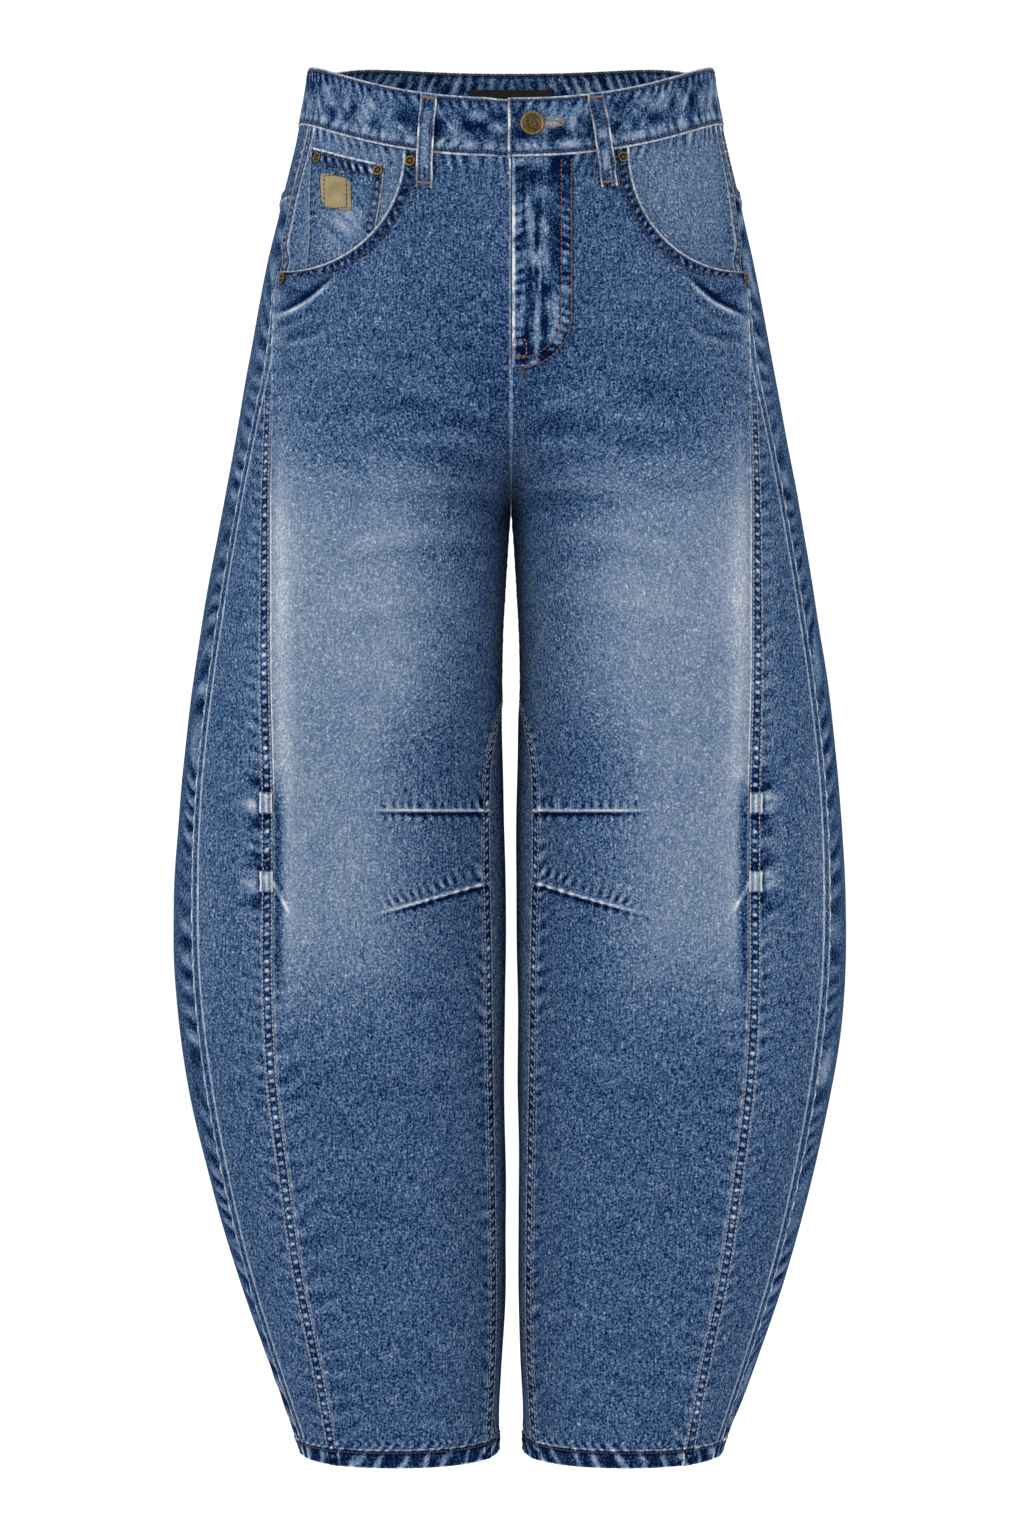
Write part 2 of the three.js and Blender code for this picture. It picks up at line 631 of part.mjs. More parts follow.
/** How far a belt loop's inner face stands off the skin, for a share of the way down. */
function loopStandOff(share) {
  const onBand = WAISTBAND_RAISE + LOOP.lie;
  const bowed = onBand + LOOP.bow;
  const foot = LOOP.lie + BAND_RAISE;
  const rise = lerp(onBand, bowed, smoothstep(share, 0.1, 0.3));
  return lerp(rise, foot, smoothstep(share, 0.72, 0.9));
}

function beltLoop({ name, side, front, topX, bottomX }) {
  const shares = [0, 0.1, 0.2, 0.3, 0.45, 0.6, 0.72, 0.81, 0.9, 1];
  const grid = shares.map((share) => {
    const level = lerp(LOOP.top, LOOP.bottom, share);
    const x = lerp(topX, bottomX, share);
    const near = x - LOOP.width / 2;
    const far = x + LOOP.width / 2;
    const row = {
      level: () => level,
      from: angleAt(front ? near : far, level, front),
      to: angleAt(front ? far : near, level, front),
      trimStart: 0,
      trimEnd: 0,
    };
    const spots = sampleRow(side, row, columns(2));
    spots.forEach((spot) => {
      spot.shift = loopStandOff(share);
    });
    return spots;
  });
  return part(name, wall(side, grid, 0, LOOP.wall, true), denim);
}

const LABEL = { halfWidth: 31, top: -12.3, bottom: -36.7, wall: 0.8, gap: 0.6 };

/** The plain label sewn inside the back of the waistband. */
function label() {
  const grid = [LABEL.top, LABEL.bottom].map((level) => {
    const start = angleAt(LABEL.halfWidth, level, false);
    const row = { level: () => level, from: start, to: Math.PI - start };
    return sampleRow(LEFT, row, columns(8));
  });
  const outer = -CLOTH - LABEL.gap;
  return part('label', wall(LEFT, grid, outer - LABEL.wall, outer, true), labelCloth);
}

/** A turned metal piece: its profile is radius and height pairs from the axis round to the axis. */
function turned(name, profile, segments, side, x, level, standOff) {
  const points = profile.map(([radius, height]) => new THREE.Vector2(radius, height));
  const mesh = part(name, new THREE.LatheGeometry(points, segments), brass);
  const angle = angleAt(x, level, true);
  const point = skinPoint(side, angle, rowHeight(level, angle));
  const normal = skinNormal(side, point);
  mesh.position.copy(point).addScaledVector(normal, standOff);
  mesh.quaternion.setFromUnitVectors(new Vector3(0, 1, 0), normal);
  return mesh;
}

const BUTTON = { x: 14.4, level: -19.2, neck: 4, radius: 8.5, neckHeight: 1.6, rim: 2.6, height: 3.8 };

function button() {
  const { neck, radius, neckHeight, rim, height } = BUTTON;
  const top = neckHeight + rim;
  const profile = [
    [0, 0], [neck, 0], [neck, neckHeight], [radius - 0.6, neckHeight], [radius, neckHeight + 0.8],
    [radius, top - 0.6], [radius - 0.8, top], [radius - 2, top - 0.4], [4, neckHeight + height - 1.4],
    [0, neckHeight + height - 1.2],
  ];
  const standOff = WAISTBAND_RAISE + LAID_GAP;
  return turned('button', profile, 20, LEFT, BUTTON.x, BUTTON.level, standOff);
}

const RIVET_RADIUS = 3.8;
const RIVET_PROFILE = [[0, 0], [RIVET_RADIUS, 0], [RIVET_RADIUS, 0.5], [2.9, 1.1], [1.4, 0.9], [0, 1.3]];
const ON_PANEL = BAND_RAISE * 0.6 + LAID_GAP;

// Rivets: how far each stands off the skin depends on the piece that it holds.
const RIVETS = [
  { name: 'rivet_pocket_top_left', side: LEFT, x: 76.3, level: -48, standOff: ON_PANEL },
  { name: 'rivet_pocket_top_right', side: RIGHT, x: 68.8, level: -50, standOff: ON_PANEL },
  { name: 'rivet_pocket_side_left', side: LEFT, x: 163.6, level: -150.5, standOff: ON_PANEL },
  { name: 'rivet_pocket_side_right', side: RIGHT, x: 159.2, level: -151, standOff: ON_PANEL },
  { name: 'rivet_coin_inner', side: RIGHT, x: 92, level: -60.7, onCoin: true },
  { name: 'rivet_coin_outer', side: RIGHT, x: 133.5, level: -61.7, onCoin: true },
];

function rivet({ name, side, x, level, standOff, onCoin }) {
  const height = onCoin
    ? facingShift(side, x, level) + LAID_GAP * 2 + COIN_WALL
    : standOff;
  return turned(name, RIVET_PROFILE, 12, side, x, level, height);
}

const trousers = new THREE.Group();
[LEFT, RIGHT].forEach((side) => {
  trousers.add(frontPanel(side), barrelPanel(side), yoke(side), backPanel(side));
  trousers.add(pocketFacing(side), waistband(side));
});
trousers.add(fly(), coinPocket(), patch(), label(), button());
BELT_LOOPS.forEach((loop) => trousers.add(beltLoop(loop)));
RIVETS.forEach((spec) => trousers.add(rivet(spec)));

export default trousers;
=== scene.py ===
"""Barrel leg jeans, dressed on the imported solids.

The garment is one outer skin of rounded sections, the same on the left and on the right. Each
piece of cloth is a grid of points on that skin, raised by its seams, puckers and creases, and
then given its wall. Sizes are in millimetres where a name says nothing else.
"""
import logging
import math
from dataclasses import dataclass, field
from enum import Enum
from typing import Any, Callable, Sequence

import bmesh
import bpy
import numpy as np
from mathutils import Matrix, Vector

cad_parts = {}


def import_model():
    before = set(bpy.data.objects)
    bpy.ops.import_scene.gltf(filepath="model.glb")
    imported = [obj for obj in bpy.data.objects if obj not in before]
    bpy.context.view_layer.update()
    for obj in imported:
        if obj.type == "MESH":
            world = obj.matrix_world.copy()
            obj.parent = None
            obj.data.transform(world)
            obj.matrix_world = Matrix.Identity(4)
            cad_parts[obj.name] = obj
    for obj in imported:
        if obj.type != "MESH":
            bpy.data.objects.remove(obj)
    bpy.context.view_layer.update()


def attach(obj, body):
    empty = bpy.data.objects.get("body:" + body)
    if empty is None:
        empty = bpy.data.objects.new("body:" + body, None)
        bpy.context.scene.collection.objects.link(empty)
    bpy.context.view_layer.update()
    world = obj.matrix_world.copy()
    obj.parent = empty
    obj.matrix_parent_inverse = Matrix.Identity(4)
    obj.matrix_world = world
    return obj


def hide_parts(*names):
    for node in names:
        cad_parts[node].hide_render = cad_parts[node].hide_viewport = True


Array = np.ndarray
Colour = tuple[int, int, int]
Socket = bpy.types.NodeSocket
Groups = dict[str, bpy.types.NodeTree]
Line = tuple[Array, Array]  # Points of a line on the cloth, and the normals there.
MM = 0.001
CLEAR = 0.02  # How far a piece of cloth keeps off the seam line.
FELLED = 8.5  # Width of a felled seam.
INSEAM_BAND = 10.5  # Width of the raised inseam.
INSEAM_TOP = -450  # Level where the raised inseam starts.
HEM_TOP = -972  # Level of the hem's upper edge.
HEM_SEWN = 10.7  # Height of the stitches over the hem.
EXPOSURE = 0.47  # The studio's light is brighter than the photograph's by the inverse of this.
LOG = logging.getLogger("jeans")


class Side(Enum):
    """The wearer's left or right half."""

    LEFT = 1
    RIGHT = -1

    @property
    def word(self) -> str:
        """The word used in the names of pieces."""
        return self.name.lower()


class Edge(Enum):
    """An edge of a piece of cloth, and the distance to it that the cloth keeps."""

    START = "start"
    END = "end"
    TOP = "top"
    BOTTOM = "bottom"


START, END, TOP, BOTTOM = Edge


def smooth(value: Array, low: float, high: float) -> Array:
    """Eases from 0 at low to 1 at high."""
    share = np.clip((value - low) / (high - low), 0.0, 1.0)
    return share * share * (3 - 2 * share)


def bump(value: Array, centre: float, width: float) -> Array:
    """A soft hill of height 1."""
    return np.exp(-(((value - centre) / width) ** 2))


def signed_power(value: Array, power: float) -> Array:
    """A power that keeps the sign of its base."""
    return np.sign(value) * np.abs(value) ** power


def mix(first: Array, last: Array, share: Array) -> Array:
    """Goes evenly from first to last."""
    return first + (last - first) * share


# Form of one half at each height: half width at the side, then where the front, the back and
# the widest point lie.
SECTION_ROWS = (
    (30, 143, -98, 102, 0),
    (0, 144, -100, 105, 0),
    (-46, 152, -107, 113, 2),
    (-97, 164.3, -112, 124, 5),
    (-166, 178.6, -115, 135, 8),
    (-234, 191.8, -116, 137, 10),
    (-303, 204.6, -115, 127, 10),
    (-371, 216.8, -112, 114, 8),
    (-440, 227.1, -107, 105, 6),
    (-508, 234.6, -102, 98, 4),
    (-577, 238.9, -97, 94, 3),
    (-646, 238.2, -93, 91, 3),
    (-714, 231.4, -88, 89, 4),
    (-783, 217.1, -83, 87, 5),
    (-851, 197.9, -77, 84, 6),
    (-920, 174.3, -71, 81, 7),
    (-984, 150.5, -66, 78, 8),
)
# Half of the space between the legs at each height.
SPACE_ROWS = (
    (-314, 0.15), (-337, 1.8), (-371, 3.9), (-406, 5.7), (-474, 6.4),
    (-577, 5), (-646, 4.2), (-851, 4.4), (-920, 6), (-984, 9),
)
# How far inside the outline the front and the back edge of the barrel panel lie.
SEAM_ROWS = (
    (-158, 11, 9.5), (-205, 19, 14.8), (-250, 29, 15.2), (-303, 39, 15.4), (-371, 51.5, 15.4),
    (-440, 62, 15), (-508, 71, 14.6), (-577, 75.5, 15.6), (-646, 74.5, 16), (-714, 70.5, 16.4),
    (-783, 64.5, 14.4), (-851, 54.5, 11), (-920, 44.5, 8.4), (-984, 31.5, 6),
)
# Angle of the inseam, in degrees, from the innermost line of the leg towards the front.
INSEAM_ROWS = ((-442, 0), (-469, 16), (-505, 24), (-646, 24.5), (-900, 22), (-984, 26))


class Curve:
    """A smooth curve through one column of a table, read by height."""

    def __init__(self, rows: Sequence[Sequence[float]], column: int) -> None:
        """Takes the column's values and the slope at each row.

        Args:
            rows: The table, highest row first, with the height in its first column.
            column: Which column to read.
        """
        self.heights = np.array([row[0] for row in rows], dtype=float)
        self.values = np.array([row[column] for row in rows], dtype=float)
        rise, reach = (np.append(row[1:], row[-1]) - np.insert(row[:-1], 0, row[0])
                       for row in (self.values, self.heights))
        self.slopes = rise / reach

    def __call__(self, height: Array) -> Array:
        """Reads the curve at each height.

        Args:
            height: Heights to read it at.

        Returns:
            The values there.
        """
        height = np.clip(height, self.heights[-1], self.heights[0])
        k = np.clip(np.searchsorted(-self.heights, -height, side="left") - 1, 0, len(self.heights) - 2)
        span = self.heights[k + 1] - self.heights[k]
        share = (height - self.heights[k]) / span
        rise = self.values[k + 1] - self.values[k]
        start_bend = self.slopes[k] * span - rise
        end_bend = rise - self.slopes[k + 1] * span
        bend = (1 - share) * start_bend + share * end_bend
        return self.values[k] + share * rise + share * (1 - share) * bend


class Noise:
    """Smooth noise from -1 to 1 over a surface, the same on every run."""

    def __init__(self, seed: int = 7, size: int = 128) -> None:
        """Fills the table of values that the noise goes through."""
        self.size = size
        self.table = np.random.default_rng(seed).uniform(-1, 1, (size, size))

    def __call__(self, u: Array, v: Array, seed: int = 0) -> Array:
        """Reads the noise at u and v, moved to another place for each seed.

        Args:
            u: First place in the pattern.
            v: Second place in it.
            seed: Moves to another part of it.

        Returns:
            Values from -1 to 1.
        """
        u = u + seed * 17.31
        v = v + seed * 7.77
        i, j = np.floor(u).astype(int), np.floor(v).astype(int)
        s, t = u - i, v - j
        s, t = s * s * (3 - 2 * s), t * t * (3 - 2 * t)
        i0, j0 = i % self.size, j % self.size
        i1, j1 = (i + 1) % self.size, (j + 1) % self.size
        low = mix(self.table[i0, j0], self.table[i1, j0], s)
        high = mix(self.table[i0, j1], self.table[i1, j1], s)
        return mix(low, high, t)


NOISE = Noise()


@dataclass
class Rows:
    """The rows of a piece of cloth: levels and angles at their ends and turns, and what is trimmed off."""

    levels: tuple[Array, ...]
    angles: tuple[Array, ...]
    trims: tuple[Any, Any] = (CLEAR, CLEAR)


def between(knots: Array, share: Array) -> Array:
    """Reads rows of evenly shared knots at shares of the way along each row.

    Args:
        knots: One row of knots for each row.
        share: Shares of the way, row by row.

    Returns:
        The values there.
    """
    place = share * (knots.shape[1] - 1)
    k = np.clip(place.astype(int), 0, knots.shape[1] - 2)
    row = np.arange(len(knots))[:, None]
    return mix(knots[row, k], knots[row, k + 1], place - k)


class Cloth:
    """A piece of cloth as a grid of points, with the distances to its edges."""

    def __init__(self, side: Side, points: Array, normals: Array, start: Array, length: Array,
                 level: Array) -> None:
        """Keeps the grid and measures it.

        Args:
            side: The half of the garment that it is on.
            points: Points of the skin, rows by columns by 3.
            normals: Directions out of the cloth.
            start: Distance of each point from the start of its row.
            length: Length of each row.
            level: Level of each point.
        """
        self.side = side
        self.points = points
        self.normals = normals
        self.start = start
        self.end = length[:, None] - start
        self.level = level
        steps = np.linalg.norm(np.diff(points, axis=0), axis=2)
        self.top = np.vstack([np.zeros(points.shape[1]), np.cumsum(steps, axis=0)])
        self.bottom = self.top[-1] - self.top
        self.across = side.value * points[..., 0]
        self.height = points[..., 2]
        # Height over the skin, paleness of the wash with some painted light, and wear with painted highlights
        # and shade.
        self.lift, self.fade, self.rub_and_shading = (np.zeros(start.shape) for _ in range(3))
        self.zone = np.ones(start.shape)
        self.least = min(CLEAR, float(self.across.min()))

    @property
    def surface(self) -> Array:
        """The outer face, raised from the skin."""
        moved = self.points + self.normals * self.lift[..., None]
        moved[..., 0] = self.side.value * np.maximum(self.side.value * moved[..., 0], self.least)
        return moved

    def away(self, edge: Edge) -> Array:
        """Distance of each point from an edge."""
        return getattr(self, edge.value)

    def along(self, edge: Edge) -> Array:
        """Distance of each point along an edge.

        Args:
            edge: The edge.

        Returns:
            The distances, in the shape of the grid.
        """
        if edge in (TOP, BOTTOM):
            return self.start
        column = 0 if edge is START else -1
        return np.repeat(self.top[:, column][:, None], self.start.shape[1], axis=1)

    def ripple(self, along: Array, away: Array, period: float, reach: float, height: float, seed: int,
               rub_and_shading: float = 0.8, where: Any = 1.0, drift: float = 3.4) -> None:
        """Gathers the cloth into short folds across a line.

        Args:
            along: Distance of each point along the line.
            away: And away from it.
            period: Usual distance from one fold to the next.
            reach: How far the folds run out from the line.
            height: Height of a fold.
            seed: Picks another pattern.
            rub_and_shading: How much their tops are worn light.
            where: Mask of the part that is gathered.
            drift: How far the folds stray from even steps.
        """
        stray = NOISE(along / (2.5 * period), away / (3 * period), seed)
        wave = np.sin(math.tau * along / period + drift * stray)
        wave = wave * (0.75 + 0.5 * NOISE(along / (1.3 * period), away / (3 * period), seed + 1))
        wave = wave * bump(away, 0, reach) * where
        self.lift += height * wave
        self.rub_and_shading += rub_and_shading * wave

    def pucker(self, edge: Edge, period: float, reach: float, height: float, *, seed: int = 0,
               rub_and_shading: float = 0.8, where: Any = 1.0, offset: float = 0.0, drift: float = 3.4) -> None:
        """Gathers the cloth along a sewn edge, or along a line at an offset from it."""
        away = self.away(edge) - offset
        self.ripple(self.along(edge) + 0.35 * away, away, period, reach, height, seed, rub_and_shading, where, drift)

    def gather(self, x0: float, z0: float, x1: float, z1: float, period: float, reach: float, height: float,
               rub_and_shading: float, seed: int) -> None:
        """Gathers the cloth just above a line between two points seen from the front.

        Args:
            x0, z0: Start of the line.
            x1, z1: Its end.
            period: Usual distance from one fold to the next.
            reach: How far the folds run out.
            height: Height of a fold.
            rub_and_shading: How much their tops are worn light.
            seed: Picks another pattern.
        """
        length = math.hypot(x1 - x0, z1 - z0)
        run_x, run_z = (x1 - x0) / length, (z1 - z0) / length
        along = (self.across - x0) * run_x + (self.height - z0) * run_z
        away = (self.height - z0) * run_x - (self.across - x0) * run_z
        where = smooth(along, -1, 3) * (1 - smooth(along, length * 0.8, length))
        where = where * smooth(np.abs(away), 0.8, 2.6)
        self.ripple(along, away - 3, period, reach, height, seed, rub_and_shading, where)

    def groove(self, edge: Edge, place: float, width: float = 0.9, depth: float = 1.0,
               where: Any = 1.0) -> None:
        """Pulls the cloth down along a row of stitches and paints the dip darker, as painted shade.

        Args:
            edge: The edge that the stitches follow.
            place: How far from it.
            width: Half width of the dip.
            depth: How deep it is, and how dark its painted shade.
            where: Mask of the part that is sewn.
        """
        dip = bump(self.away(edge), place, width) * where
        self.lift -= 0.3 * depth * dip
        # Painted shade: the dip is darkened as well as lowered.
        self.rub_and_shading -= depth * dip

    def shade(self, edge: Edge, width: float, depth: float, where: Any = 1.0) -> None:
        """Darkens a felled band, in longer and shorter blocks.

        Args:
            edge: The edge that the band follows.
            width: Its width.
            depth: How dark it is.
            where: Mask of the part that has it.
        """
        along, away = self.along(edge), self.away(edge)
        body = (1 - smooth(away, width - 1.6, width)) * smooth(away, 0.4, 1.6) * where
        self.rub_and_shading -= depth * body * (1 + 0.7 * NOISE(along / 7, away / 20, 5))

    def rope(self, seed: int, period: float = 15.7, tall: float = 11.0) -> None:
        """Twists the hem into broad blocks with narrow pale ridges between them.

        Args:
            seed: Picks the pattern.
            period: From one block to the next.
            tall: Height of the hem.
        """
        phase = (self.start + 0.5 * self.bottom) / period
        phase = phase + 0.25 * NOISE(self.start / 9, self.bottom / 20, seed)
        ridge = (0.5 + 0.5 * np.cos(math.tau * phase)) ** 4
        where = 1 - smooth(self.bottom, tall, tall + 2)
        self.groove(BOTTOM, tall - 0.3, 1.3, 1.7)
        self.lift += (0.75 + 0.55 * ridge) * where
        self.rub_and_shading += (2.4 * ridge - 1.1 + 0.5 * NOISE(self.start / 3, self.bottom / 6, seed + 1)) * where
        self.ripple(self.start + self.bottom, self.bottom - tall - 4, 7, 4, 0.5, seed + 2, 1.6)

    def crease(self, x0: float, z0: float, x1: float, z1: float, width: float, height: float,
               rub_and_shading: float = 0.0, bow: float = 0.0, shadow: float = 0.0) -> None:
        """Lays a soft ridge, or a trough where height is negative, between two points seen from the front.

        Args:
            x0, z0: Start, from the middle of the garment and its origin.
            x1, z1: End.
            width: Half width of the ridge.
            height: Its height in the middle.
            rub_and_shading: How much its top is worn light.
            bow: How far its middle bends to the left of its direction.
            shadow: Depth of the trough along its right side; where it is set, the trough is also painted
                darker, as shade.
        """
        run = np.array([x1 - x0, z1 - z0], dtype=float)
        length = float(np.hypot(*run))
        run /= length
        dx, dz = self.across - x0, self.height - z0
        share = (dx * run[0] + dz * run[1]) / length
        away = dz * run[0] - dx * run[1] - bow * np.sin(np.clip(share, 0, 1) * math.pi)
        fade = smooth(share, -0.12, 0.3) * (1 - smooth(share, 0.7, 1.12))
        ridge = bump(away, 0, width) * fade
        trough = bump(away, -1.9 * width, 1.3 * width) * fade
        self.lift += height * ridge - shadow * trough
        # Painted shade: the trough beside the ridge is darkened when it has a shadow.
        self.rub_and_shading += rub_and_shading * ridge - rub_and_shading * 0.8 * trough * (shadow > 0)

    def felled(self, edge: Edge, width: float = FELLED, height: float = 0.9, where: Any = 1.0) -> None:
        """Raises the folded band of a felled seam along an edge.

        Args:
            edge: The edge.
            width: Width of the band.
            height: How far it is raised.
            where: Mask of the part that has it.
        """
        away = self.away(edge)
        self.lift += height * (1 - smooth(away, width - 0.5, width + 0.7)) * where
        self.lift -= 0.55 * height * (1 - smooth(away, 0, 0.9)) * where

    def waves(self, size: float, height: float, seed: int, stretch: float = 1.6) -> None:
        """Lets the cloth roll softly all over.

        Args:
            size: Usual width of a wave.
            height: Its height.
            seed: Picks the pattern.
            stretch: How much taller than wide a wave is.
        """
        wave = NOISE(self.across / size, self.height / (size * stretch), seed)
        edges = smooth(np.minimum(self.top, self.bottom), 4, 40)
        self.lift += height * wave * edges * smooth(np.minimum(self.start, self.end), 4, 40)

    def spot(self, strength: float, away: Array, place: float, width: float, height: float, tall: float,
             where: Any = 1.0) -> None:
        """Lightens a soft spot, or darkens it where strength is negative: bleached wash, and in one place
        painted light.

        Args:
            strength: How much paler its middle is.
            away: Distance of each point from an edge or from the middle of the garment.
            place: That distance at the spot.
            width: Half width of the spot.
            height: Its height on the garment.
            tall: Half of how tall it is.
            where: Mask of the part that it may touch.
        """
        self.fade += strength * bump(away, place, width) * bump(self.height, height, tall) * where

    def line(self, edge: Edge, offset: float, keep: Callable[["Cloth"], Array] | None = None) -> Line:
        """Follows an edge at a distance, on the outer face.

        Args:
            edge: The edge to follow.
            offset: How far from it.
            keep: Says which points of the grid the line may use.

        Returns:
            The points of the line and the normals there.
        """
        away = self.away(edge)
        surface, normals = self.surface, self.normals
        allowed = np.ones(away.shape, bool) if keep is None else keep(self)
        if edge in (TOP, BOTTOM):
            away, allowed = away.T, allowed.T
            surface, normals = surface.transpose(1, 0, 2), normals.transpose(1, 0, 2)
        if edge in (END, BOTTOM):
            away, allowed = away[:, ::-1], allowed[:, ::-1]
            surface, normals = surface[:, ::-1], normals[:, ::-1]
        spots, directions = [], []
        for row, ok, place, normal in zip(away, allowed, surface, normals):
            k = int(np.searchsorted(row, offset)) - 1
            if k < 0 or k >= len(row) - 1 or not ok[k]:
                continue
            share = (offset - row[k]) / (row[k + 1] - row[k])
            spots.append(mix(place[k], place[k + 1], share))
            directions.append(mix(normal[k], normal[k + 1], share))
        return np.array(spots), np.array(directions)

    def trace(self, path: Sequence[tuple[float, float]]) -> Line:
        """Follows a path seen from the front, on the outer face.

        Args:
            path: Its points: distance from the middle, and height.

        Returns:
            The points of the line and the normals there.
        """
        surface = self.surface.reshape(-1, 3)
        across, height = self.side.value * surface[:, 0], surface[:, 2]
        normals = self.normals.reshape(-1, 3)
        ends = np.array(path, dtype=float)
        run = np.insert(np.cumsum(np.hypot(*np.diff(ends, axis=0).T)), 0, 0.0)
        steps = np.linspace(0, run[-1], max(2, int(run[-1] / 1.5)))
        spots, directions = [], []
        for x, z in zip(np.interp(steps, run, ends[:, 0]), np.interp(steps, run, ends[:, 1])):
            near = np.argsort((across - x) ** 2 + (height - z) ** 2)[:4]
            weight = 1 / (np.hypot(across[near] - x, height[near] - z) + 0.05)
            weight /= weight.sum()
            normal = weight @ normals[near]
            gap_x, gap_z = self.side.value * x - surface[near, 0], z - height[near]
            y = surface[near, 1] - (normal[0] * gap_x + normal[2] * gap_z) / normal[1]
            spots.append((self.side.value * x, float(weight @ y), z))
            directions.append(normal)
        return np.array(spots), np.array(directions)


@dataclass
class Form:
    """The outer skin of the garment and the seams that run over it."""

    crotch: float = -314
    front_bend: float = 120
    back_bend: float = 165
    roundness: float = 0.8
    front_dip: float = 38.5
    back_lift: float = 19.5
    back_spread: float = 6
    dip_reach: float = 260
    fullness: float = 2.25
    waistband: float = 41
    gap: float = 0.04
    pocket_corner: float = -146
    panel_tip: float = -158
    hem: float = -984
    trace_steps: int = 160
    hip_inset: dict[Side, float] = field(default_factory=lambda: {Side.LEFT: 4.5, Side.RIGHT: 9.5})
    pocket_top: dict[Side, float] = field(default_factory=lambda: {Side.LEFT: 81, Side.RIGHT: 73.5})

    def __post_init__(self) -> None:
        """Reads the tables."""
        self.side, self.front, self.back, self.widest = (Curve(SECTION_ROWS, k) for k in (1, 2, 3, 4))
        self.space = Curve(SPACE_ROWS, 1)
        self.insets = {"front": Curve(SEAM_ROWS, 1), "outer": Curve(SEAM_ROWS, 2)}
        self.inseam = Curve(INSEAM_ROWS, 1)

    def section(self, z: Array, front: Array) -> tuple[Array, Array, Array, Array]:
        """Centre, half width, depth and widest point of the section at a height.

        Args:
            z: The heights.
            front: True where a point is on the front.

        Returns:
            The four distances, at each height.
        """
        side, widest = self.side(z), self.widest(z)
        depth = np.where(front, widest - self.front(z), self.back(z) - widest)
        bend = np.where(front, self.front_bend, self.back_bend)
        opened = smooth(z, self.crotch, self.crotch + bend) ** self.roundness
        width = np.where(z <= self.crotch, (side - self.space(z)) / 2, side / (2 - opened))
        return side - width, width, depth, widest

    def row_height(self, level: Array, angle: Array) -> Array:
        """Height of a level at an angle: near the waist the rows dip at the front.

        Args:
            level: The levels.
            angle: The angles.

        Returns:
            The heights.
        """
        fade = np.clip((level + self.dip_reach) / (self.dip_reach - self.waistband), 0, 1)
        across = np.abs(np.cos(angle))
        front, back = -self.front_dip * (1 - across ** 2), self.back_lift * (1 - across ** self.back_spread)
        return level + fade * np.where(np.sin(angle) < 0, front, back)

    def point(self, side: Side, angle: Array, z: Array) -> Array:
        """Points of the skin at angles from the side, 0, to the front, -90 degrees.

        Args:
            side: The half.
            angle: The angles.
            z: The heights.

        Returns:
            The points.
        """
        centre, width, depth, widest = self.section(z, np.sin(angle) < 0)
        x = centre + width * signed_power(np.cos(angle), 2 / self.fullness)
        y = widest + depth * signed_power(np.sin(angle), 2 / self.fullness)
        return np.stack([side.value * x, y, z + 0 * x], axis=-1)

    def outside(self, side: Side, point: Array) -> Array:
        """How far outside its section a point is: 1 lies on it.

        Args:
            side: The half.
            point: The points.

        Returns:
            The measure for each point.
        """
        z = point[..., 2]
        centre, width, depth, widest = self.section(z, point[..., 1] < self.widest(z))
        across = np.abs((side.value * point[..., 0] - centre) / width) ** self.fullness
        return across + np.abs((point[..., 1] - widest) / depth) ** self.fullness

    def normal(self, side: Side, point: Array) -> Array:
        """Directions out of the cloth.

        Args:
            side: The half.
            point: Points of the skin.

        Returns:
            A direction for each point.
        """
        slopes = []
        for axis in range(3):
            step = np.zeros(3)
            step[axis] = 0.4
            slopes.append(self.outside(side, point + step) - self.outside(side, point - step))
        slope = np.stack(slopes, axis=-1)
        return slope / np.linalg.norm(slope, axis=-1, keepdims=True)

    def angle_at(self, x: Array, level: Array, front: bool = True) -> Array:
        """Angle where a row crosses a distance from the middle.

        Args:
            x: Distances from the middle.
            level: Levels of the rows.
            front: False for the back.

        Returns:
            The angles.
        """
        sign = -1 if front else 1
        level = np.asarray(level, dtype=float)
        angle = np.full(np.broadcast(x, level).shape, sign * math.pi / 2)
        for _ in range(6):
            centre, width, _, _ = self.section(self.row_height(level, angle), np.full(angle.shape, front))
            across = np.clip((x - centre) / width, -1, 1)
            angle = sign * np.arccos(signed_power(across, self.fullness / 2))
        return angle

    def inset(self, side: Side, column: str, level: Array) -> Array:
        """How far inside the outline a side seam lies.

        Args:
            side: The half.
            column: Which edge of the barrel panel: front or outer.
            level: The levels.

        Returns:
            The distances.
        """
        tip = self.insets[column](np.array(self.panel_tip))
        upper = mix(tip, self.hip_inset[side], smooth(level, self.panel_tip, -self.waistband))
        return np.where(level <= self.panel_tip, self.insets[column](level), upper)

    def seam_x(self, side: Side, column: str, level: Array) -> Array:
        """Distance of a side seam from the middle."""
        return self.side(level) - self.inset(side, column, level)

    def corner_x(self, side: Side) -> float:
        """Distance of the pocket's corner from the middle."""
        return float(self.seam_x(side, "front", np.array(float(self.pocket_corner))))

    def seam(self, side: Side, column: str, level: Array) -> Array:
        """Angle of a side seam: the barrel panel's front or outer edge."""
        return self.angle_at(self.seam_x(side, column, level), level)

    def middle(self, level: Array, front: bool) -> Array:
        """Angle of the seam between the two halves."""
        return self.angle_at(self.gap / 2, level, front)

    def inner(self, level: Array, front: bool) -> Array:
        """Angle of the middle seam, and below the crotch of the inseam.

        Args:
            level: The levels.
            front: False for the back.

        Returns:
            The angles.
        """
        turn = np.radians(np.maximum(0, self.inseam(level)))
        below = -math.pi + turn if front else math.pi + turn
        return np.where(level > self.crotch, self.middle(level, front), below)

